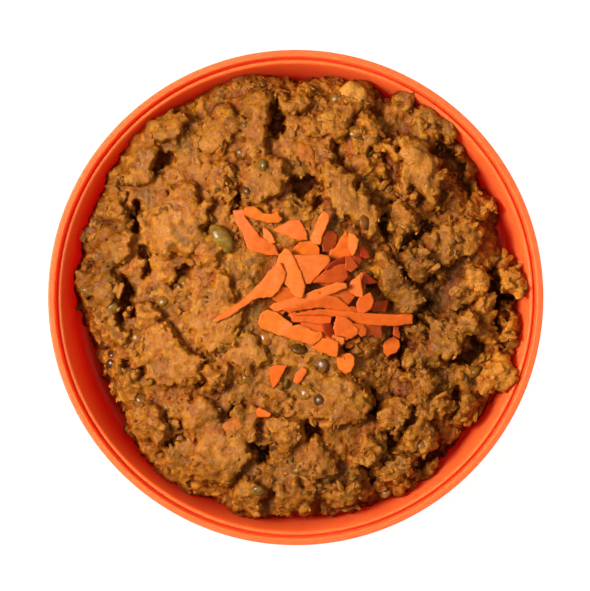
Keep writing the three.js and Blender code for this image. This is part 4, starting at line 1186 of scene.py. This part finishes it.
# Shreds of the pile from the bottom up: how they slope to the right and to the back, then the
# outline of each.
SHREDS = [
    (-0.15, 0.05, [(7, 1.6), (12, 4), (19.5, 3.6), (21.5, 0), (19, -2.8), (13, -0.6)]),
    (-0.10, 0.00, [(1.5, -8), (8, -7.6), (13, -9.4), (12, -12.8), (6, -12.8), (2.2, -10.8)]),
    (-0.30, 0.00, [(27, -4.6), (28.5, -1.5), (33.8, -0.8), (32.8, -5), (28, -5.6)]),
    (-0.35, 0.05, [(24.4, 8.8), (26, 8.2), (30.3, 5.2), (27, 4.9), (24, 5)]),
    (-0.20, 0.00, [(35.4, -9), (37.6, -9), (37.9, -14.8), (36.4, -14.2), (35.3, -13.5)]),
    (-0.30, 0.05, [(24.8, -9.4), (31, -9.4), (31.2, -15), (29, -14.3), (27.6, -13.4), (25.8, -14.4),
        (24.6, -13)]),
    (-0.35, 0.00, [(10.8, 24.4), (14, 24), (15.6, 22.5), (14.8, 19.5), (13.3, 16.5), (9.6, 16.4),
        (9.4, 20)]),
    (-0.45, 0.10, [(9, -9.4), (12.5, -9), (14.2, -11.5), (15.5, -14), (18.6, -16), (17.5, -17),
        (13.4, -15.5), (10.5, -12.8)]),
    (-0.15, 0.00, [(20, -9), (24.5, -9.6), (25.6, -11), (25.2, -13.8), (23.8, -14.2), (21.5, -12.4)]),
    (-0.35, 0.10, [(20.5, 14.8), (22.5, 17.8), (23.6, 15.6), (24, 13), (22.9, 11.3), (21.2, 12)]),
    (-0.35, 0.00, [(22.4, 17.9), (24.6, 18.9), (26, 16.8), (27.3, 14.6), (25.5, 14), (23.4, 14.8)]),
    (0.10, 0.00, [(-11.9, 25.3), (-10.3, 24.9), (-8.2, 22.2), (-7.4, 19.8), (-9.3, 19.4),
        (-11.8, 21.4)]),
    (0.05, 0.10, [(7, -15.4), (9, -14.4), (12, -14.6), (15.2, -16), (15.4, -19), (15, -21.6),
        (12, -20.8), (8.5, -19.5), (6.2, -18.3)]),
    (0.02, 0.05, [(16.2, -20.3), (20, -20), (21.3, -21.8), (21.3, -24.5), (20.2, -26.8), (18, -27.8),
        (15.8, -26.5), (14.8, -24), (15, -21.8)]),
    (-0.05, 0.15, [(32, -16), (35.8, -13.8), (37.8, -15.8), (38, -18), (36.8, -20), (34.6, -20.8),
        (33.5, -22), (32, -20.6), (31.7, -18)]),
    (-0.05, 0.00, [(26.8, 2), (28, 0), (28.2, -1.5), (27, -4), (25.5, -5.4), (23.8, -5.9), (22, -4.8),
        (21.8, -2), (22.8, 0), (25, 0.8)]),
    (0.08, 0.00, [(23.4, 8.6), (23.9, 4), (24.4, 0), (22, 0.4), (19.7, 1.6), (19, 4), (20.2, 6.2),
        (22, 7.4)]),
    (-0.25, -0.05, [(17.6, 10), (18, 14.6), (20, 15.2), (22.6, 11.2), (20, 9.2)]),
    (-0.50, 0.20, [(10, 9.8), (12.5, 12.8), (15, 14), (18.5, 15), (18.2, 12), (14, 10.8)]),
    (-0.05, 0.05, [(11.8, 14.6), (12.5, 17.2), (14.3, 18), (16, 21.5), (18.4, 24.3), (19.4, 20),
        (19.8, 16.8), (20.6, 14.8), (17.5, 14.6), (14.8, 13.2)]),
    (0.10, 0.00, [(19.2, 23.8), (21.6, 22.3), (22.8, 20.8), (22.2, 18), (21, 15.2), (20.2, 14.9),
        (19, 17.2), (18.6, 20.5)]),
    (-0.22, 0.05, [(6, 5.2), (9, 8.6), (11.5, 10.6), (15, 11.8), (18, 12.2), (18.5, 10), (19, 7.3),
        (16.5, 5.2), (12, 5)]),
    (0.00, 0.08, [(-19, 31.8), (-17.5, 32.9), (-14.6, 32.6), (-11.5, 30.4), (-8.5, 30.2), (-6.6, 31.2),
        (-5.8, 29.5), (-4.6, 28.4), (-6.2, 26.9), (-10, 26.8), (-13.6, 27.8), (-16.5, 28.6),
        (-18.8, 29.9)]),
    (0.05, 0.00, [(-22.9, 31.4), (-21.8, 27), (-19.6, 24.2), (-18.2, 20.5), (-17.6, 18), (-15, 16.5),
        (-11, 15.5), (-5.8, 15), (-7.3, 18.8), (-9.5, 20.4), (-12, 21.4), (-14.5, 24.5), (-17, 27.5),
        (-18.7, 30), (-18.8, 32), (-21, 31.6)]),
    (0.05, 0.00, [(-8.4, 24.2), (-6, 26), (-2, 28), (1.5, 28.3), (3, 26), (4.2, 22.6), (4.6, 20.6),
        (1, 20.6), (-2, 21.6), (-6, 23.2)]),
    (0.00, 0.15, [(-1.2, 15), (-1, 17.5), (1.5, 19.9), (5.5, 20.5), (7.8, 20), (8.5, 17.6), (8.4, 15),
        (4.5, 14.6), (1, 14.6)]),
    (0.12, 0.00, [(5, 21), (7, 26), (9.2, 30.6), (10.2, 31.4), (12.3, 29.6), (12.1, 27.5), (10.2, 23),
        (8.8, 18.8), (6.2, 19)]),
    (-0.08, 0.05, [(14.7, -6.6), (18.2, -7), (20.8, -9.6), (22.6, -11.4), (22, -13.4), (19.8, -15.1),
        (17, -13.8), (14.4, -14), (13.4, -11)]),
    (0.05, 0.10, [(17.6, -17), (21.8, -13.7), (23.3, -14.4), (23.4, -15.6), (19.5, -18.6), (18, -18.5)]),
    (0.05, 0.05, [(-12.6, -5.6), (-9.8, -4.2), (-6.5, -5.4), (-3.5, -7.6), (-1, -9.2), (-1.5, -12),
        (-4, -14), (-7.5, -13), (-12, -11.2), (-13.8, -9.5)]),
    (0.05, 0.10, [(-4.8, -12.4), (-1.2, -10.1), (1.5, -9.6), (3.8, -10.4), (5.8, -12.1), (9.4, -12.2),
        (9.7, -14), (8.6, -15.6), (6.2, -17.4), (2.6, -16.3), (-3, -14.6), (-5.2, -13.8)]),
    (-0.08, 0.00, [(-1, -6.6), (3, -6.2), (9, -6), (13.2, -6.8), (12.6, -9.3), (8.5, -9.6), (4, -9),
        (-0.8, -8.8), (-1.5, -7.8)]),
    (-0.06, 0.10, [(-1, -5.6), (6, -4.4), (12, -4.1), (18, -4.8), (24, -5.5), (31, -5.8), (37, -6.1),
        (42.2, -6), (42.2, -9.6), (36, -10.1), (29, -10.1), (24, -9.9), (20, -8.5), (15, -7), (8, -6.3),
        (1, -6.5)]),
    (-0.10, 0.20, [(-5, -4.2), (0, -2.8), (6, -0.6), (11, 0.8), (15, 0.4), (18, -2), (20.6, -4.8),
        (22, -7.3), (18.5, -5.6), (13, -4.3), (8, -3.8), (3, -4.3), (-2, -5.6)]),
    (-0.10, 0.10, [(-8.8, 2.6), (-5, 4.2), (-2, 3.4), (1.5, 2), (3.5, -0.4), (-1, -2.2), (-6, -1.8),
        (-8.4, -0.6)]),
    (0.03, 0.02, [(-5.6, 12.8), (-9.5, 9.6), (-12.2, 6.2), (-14.9, 3), (-17.6, 0.4), (-22, -2.8),
        (-26, -5.6), (-29.9, -8), (-29.2, -9), (-25, -7.6), (-20, -4.4), (-15.6, -1.3), (-12.5, 0),
        (-9, 0), (-6.3, 2), (-4.2, 5.5), (-3.4, 9)]),
    (0.08, 0.00, [(-6.8, 12.2), (-6, 15.6), (-3.8, 17.8), (-1.8, 16.8), (-0.8, 15), (2, 9), (3.4, 4),
        (2.4, -0.2), (0.2, 0.1), (-1.7, 2), (-4.5, 5.8), (-7.5, 9)]),
    (0.06, 0.05, [(-9.5, -3.4), (-7.5, -1.9), (-2, -0.4), (4, 1.6), (10, 3.8), (15.2, 5.6), (18.4, 5),
        (18.6, 3.4), (14, 1.6), (8, -0.5), (2, -2.6), (-4, -4.6), (-7.6, -5)]),
    (0.05, 0.02, [(-5.5, 12), (-4, 15.5), (0.5, 15.3), (5, 15.2), (8.5, 15.7), (12.2, 15), (12.5, 13.2),
        (10.8, 10.8), (8.5, 8.3), (5.4, 5), (1, 4.2), (-3, 6)]),
]
# Bits that fell beside the pile, in the same way.
LOOSE_SHREDS = [
    (0.05, 0.20, [(-9.6, -25.4), (-7.2, -24.1), (-3, -24.5), (-5, -28), (-6.4, -30.8), (-8.2, -33),
        (-9.3, -30)]),
    (0.05, 0.10, [(2.2, -24.9), (4.2, -25.6), (4, -27), (2.2, -30), (0.6, -31.5), (-1, -30.6),
        (-0.4, -28)]),
    (0.10, 0.10, [(-14.5, -41), (-13.8, -42.8), (-11.8, -43.4), (-9.3, -43), (-8.8, -41.6),
        (-11.5, -40.4), (-13.4, -39.6)]),
]
THIN_SHRED, THICK_SHRED = 1.1, 1.9
SHRED_SINK = 0.7
SHRED_TOP_GAP = 0.4  # how far a shred's plane stays under the pile's top
SHRED_VOXEL = 0.36
CURL = (-0.012, 0.018)  # rise for each square millimetre from a shred's middle
CURL_SPAN = (-0.8, 1.0)  # the least and the most that it may rise
SHRED_BED = 96  # per cent of what lies under a shred that it rests clear of
STEEPER = 1.7  # the slopes of the shreds on each other
UNDER_SHREDS = 80  # tries at laying a shred at the bottom of the pile
UNDER_OVERLAP = 0.3  # share of such a shred that may lie on others
INSIDE_SHARE = 0.97  # share of such a shred that the pile must cover
STEEP_PLACE = (12.5, 20.5, 4.5, 5, 0)  # an oval under the steepest shred, with no other below it
PILE_LOW, PILE_HIGH, PILE_PITCH = (-32, -46), (45, 35), 0.5  # the grid on which the pile grows
CARROT = (0.55, 0.106, 0.009)
PALER, DARKER = (1.04, 1.1, 1.2), (0.88, 0.84, 0.8)  # how much one shred differs from another


def in_outline(x, y, outline):
    """Which of the points lie in an outline."""
    found = np.zeros(np.shape(x), bool)
    ax, ay = outline[-1]
    for bx, by in outline:
        crosses = (ay > y) != (by > y)
        with np.errstate(divide="ignore", invalid="ignore"):
            found ^= crosses & (x < (bx - ax) * (y - ay) / (by - ay) + ax)
        ax, ay = bx, by
    return found


class Pile:
    """What has been laid so far, as its height on a fine grid."""

    def __init__(self, ground):
        across, back = (np.arange(PILE_LOW[k], PILE_HIGH[k], PILE_PITCH) for k in (0, 1))
        self.x, self.y = np.meshgrid(across, back)
        self.top = np.array([[ground.under(a, b)[0][2] for a, b in zip(*row)]
                             for row in zip(self.x, self.y)])

    def footprint(self):
        """Where the pile's shreds and the narrow gaps between them are."""
        covered = np.zeros(self.x.shape, bool)
        for _, _, outline in SHREDS:
            covered |= in_outline(self.x, self.y, outline)
        for _ in range(2):
            covered |= (np.roll(covered, 1, 0) | np.roll(covered, -1, 0)
                        | np.roll(covered, 1, 1) | np.roll(covered, -1, 1))
        return covered

    def lay(self, shred, thickness):
        """Height of a shred's plane over the origin, when it is laid on the pile."""
        right, back, outline = shred
        covered = in_outline(self.x, self.y, outline)
        slope = right * self.x[covered] + back * self.y[covered]
        base = np.percentile(self.top[covered] - slope, SHRED_BED) + thickness / 2 - SHRED_SINK
        highest = PILE_TOP - thickness / 2 - SHRED_TOP_GAP
        base = min(base, highest - slope.max())
        self.top[covered] = np.maximum(self.top[covered], base + slope + thickness / 2)
        return base


def under_shreds(pile, rng):
    """Shreds at the bottom of the pile, which show in the gaps between the others."""
    allowed = pile.footprint() & (inside(pile.x, pile.y, STEEP_PLACE) == 0)
    taken = np.zeros(pile.x.shape, bool)
    found = []
    for _ in range(UNDER_SHREDS):
        middle = np.array((rng.uniform(-14, 30), rng.uniform(-16, 20)))
        turn = rng.uniform(0, math.pi)
        along = np.array((math.cos(turn), math.sin(turn))) * rng.uniform(4, 7)
        across = np.array((-math.sin(turn), math.cos(turn))) * rng.uniform(1.3, 1.9)
        outline = [tuple(middle + a * along + b * across) for a, b in (
            (-1, rng.uniform(-0.6, 0.6)), (-0.8, 1), (0.1, rng.uniform(0.7, 1.1)), (0.9, 0.9),
            (1, rng.uniform(-0.6, 0.6)), (0.7, -1), (-0.1, rng.uniform(-1.1, -0.7)), (-0.9, -0.8))]
        covered = in_outline(pile.x, pile.y, outline)
        if allowed[covered].mean() > INSIDE_SHARE and taken[covered].mean() < UNDER_OVERLAP:
            taken |= covered
            found.append((rng.uniform(-0.15, 0.1), rng.uniform(-0.1, 0.1), outline))
    return found


def shred_object(shred, base, thickness, rng):
    """A cut piece of carrot with the given outline, finely meshed and slightly curled."""
    right, back, outline = shred
    outline = np.array(outline, float)
    if np.sum(np.cross(np.roll(outline, 1, axis=0), outline)) < 0:
        outline = outline[::-1]
    count = len(outline)
    made = bmesh.new()
    low = [made.verts.new((*p, -thickness / 2)) for p in outline]
    high = [made.verts.new((*p, thickness / 2)) for p in outline]
    made.faces.new(low[::-1])
    made.faces.new(high)
    for i in range(count):
        j = (i + 1) % count
        made.faces.new((low[i], low[j], high[j], high[i]))
    mesh = bpy.data.meshes.new("shred")
    made.to_mesh(mesh)
    made.free()
    piece = bpy.data.objects.new("shred", mesh)
    bpy.context.scene.collection.objects.link(piece)
    fine = piece.modifiers.new("fine", "REMESH")
    fine.mode = "VOXEL"
    fine.voxel_size = SHRED_VOXEL
    apply_modifiers(piece)
    points = mesh_points(piece.data) * MM
    middle = outline.mean(axis=0)
    away = points[:, :2] - middle
    turn = rng.uniform(0, math.pi)
    along = away @ np.array((math.cos(turn), math.sin(turn)))
    curl = rng.uniform(*CURL)
    tag = rng.uniform(0, 900)  # gives each shred noise of its own
    points[:, 2] += np.clip(curl * along ** 2, *CURL_SPAN) + 0.2 * noise3(points + tag, 3.0, 82)
    points[:, :2] += 0.25 * np.stack([noise3(points + tag, 1.5, seed) for seed in (83, 84)], axis=1)
    points[:, 2] += base + right * points[:, 0] + back * points[:, 1]
    points[:, 2] -= max(0.0, points[:, 2].max() - PILE_TOP + 0.1)
    piece.data.calc_loop_triangles()
    triangles = np.array([t.vertices[:] for t in piece.data.loop_triangles])
    bpy.data.objects.remove(piece)
    return points, triangles


def shreds_object(name, shreds, pile, rng):
    """Shreds laid on the pile one after the other, with painted shade: redder and darker where they slope
    down to the right, away from the light.
    """
    vertices, faces, colors = [], [], []
    total = 0
    for right, back, outline in shreds:
        shred = (STEEPER * right, STEEPER * back, outline)
        thickness = rng.uniform(THIN_SHRED, THICK_SHRED)
        v, f = shred_object(shred, pile.lay(shred, thickness), thickness, rng)
        vertices.append(v)
        faces.append(f + total)
        total += len(v)
        # Painted shade: a shred that slopes down to the right, away from the light, is made redder and
        # darker.
        redder, lit = np.clip(1 + 1.2 * right, 0.62, 1.14), np.clip(1 + 0.8 * right, 0.7, 1.0)
        tone = np.array(CARROT) * (1, redder, 1) * lit * rng.uniform(DARKER, PALER)
        streaks = 1 + 0.12 * noise3(v * (1, 2.2, 1), 2.4, 91) + 0.06 * noise3(v, 0.9, 92)
        colors.append(np.tile(tone, (len(v), 1)) * streaks[:, None])
    piece = mesh_object(name, np.concatenate(vertices), np.concatenate(faces))
    paint(piece, np.concatenate(colors))
    return piece


def make_carrot(ground):
    pile = Pile(ground)
    rng = np.random.default_rng(32)
    flesh = food_material("raw_carrot", (0.35, 0.55), [(600, (0.95, 0.86, 0.78))],
                          [(700, 0.12), (1600, 0.08)], subsurface=0.12, scatter=(1, 0.3, 0.06),
                          depth=0.001, specular=0.1)
    pieces = shreds_object("carrot_shreds", under_shreds(pile, rng) + SHREDS, pile, rng)
    dress(pieces, flesh, "grated_carrot")
    loose = shreds_object("loose_carrot", LOOSE_SHREDS, pile, rng)
    dress(loose, flesh, "stew")


# ---------------------------------------------------------------- stage, light and camera

FLOOR_HALF = 1500
FLOOR_GREYS = [(0.3, (0.055, 0.055, 0.055)), (0.7, (0.065, 0.065, 0.065))]
FLOOR_GLOW = 0.97
# Round soft lights: compass turn, rise in degrees, distance and size in metres, power, colour.
LIGHTS = {
    "key": (172, 50, 1.1, 0.42, 25.5, (1, 0.985, 0.96)),
    "fill": (-5, 35, 1.1, 0.8, 2.2, (1, 0.88, 0.74)),
    "overhead": (90, 82, 1.2, 0.9, 3.2, (1, 1, 1)),
}
WORLD_LIGHT = 0.15
PHOTO_HEIGHT = 591  # pixels
PHOTO_RIM = 247.9  # radius of the lip in the photograph, in pixels
PHOTO_CENTRE = (-0.25, 0.73)  # of the photograph, from the bowl's middle
CAMERA_DISTANCE = 0.9  # metres above the lip
SENSOR = 36  # width in millimetres


def make_floor():
    corners = [(a * FLOOR_HALF, b * FLOOR_HALF, 0) for a, b in ((-1, -1), (1, -1), (1, 1), (-1, 1))]
    floor = mesh_object("studio_floor", corners, [(0, 1, 2, 3)])
    material, nodes, links = new_material("pale_floor")
    shader = nodes["Principled BSDF"]
    place = nodes.new("ShaderNodeTexCoord").outputs["Object"]
    cloud = noise_node(nodes, links, place, 3, 2)
    links.new(ramp_node(nodes, links, cloud, FLOOR_GREYS), shader.inputs["Base Color"])
    shader.inputs["Roughness"].default_value = 0.8
    shader.inputs["Emission Color"].default_value = (1, 1, 1, 1)
    shader.inputs["Emission Strength"].default_value = FLOOR_GLOW
    floor.data.materials.append(material)


def make_light(name, turn, rise, far, size, power, color):
    """A light that faces the bowl."""
    turn, rise = math.radians(turn), math.radians(rise)
    lamp = bpy.data.lights.new(name, "AREA")
    lamp.shape = "DISK"
    lamp.size = size
    lamp.energy = power
    lamp.color = color
    piece = bpy.data.objects.new(name, lamp)
    piece.location = (far * math.cos(rise) * math.cos(turn), far * math.cos(rise) * math.sin(turn),
                      far * math.sin(rise) + HEIGHT * MM)
    to_bowl = Vector((0, 0, HEIGHT * MM)) - piece.location
    piece.rotation_euler = to_bowl.to_track_quat("-Z", "Y").to_euler()
    bpy.context.scene.collection.objects.link(piece)


def make_world():
    world = bpy.data.worlds.new("studio")
    world.use_nodes = True
    world.node_tree.nodes["Background"].inputs["Color"].default_value = (1, 1, 1, 1)
    world.node_tree.nodes["Background"].inputs["Strength"].default_value = WORLD_LIGHT
    bpy.context.scene.world = world


def make_camera():
    """Straight above the bowl; the view is as wide as the photograph's at the height of the lip."""
    lens = bpy.data.cameras.new("camera")
    lens.sensor_width = SENSOR
    lens.lens = SENSOR * CAMERA_DISTANCE / (PHOTO_HEIGHT * RIM / PHOTO_RIM * MM)
    piece = bpy.data.objects.new("camera", lens)
    piece.location = (PHOTO_CENTRE[0] * MM, PHOTO_CENTRE[1] * MM, HEIGHT * MM + CAMERA_DISTANCE)
    bpy.context.scene.collection.objects.link(piece)
    bpy.context.scene.camera = piece
    bpy.context.scene.view_settings.view_transform = "Standard"


# ---------------------------------------------------------------- the object

make_camera()
make_world()
for light_name, settings in LIGHTS.items():
    make_light(light_name, *settings)
make_floor()
make_bowl()
mash = fused_stew()
ground = Ground(mash)
paint(mash, mash_colors(ground.points, ground.relief))
mash_flesh = mash_material()
dress(mash, mash_flesh, "stew")
make_lentils(ground)
make_crumbs(ground, mash_flesh)
make_flakes(ground, mash_flesh)
make_chunks(ground, "potato", "potato_bits", 25)
make_chunks(ground, "carrot", "cooked_carrot", 27)
make_carrot(ground)
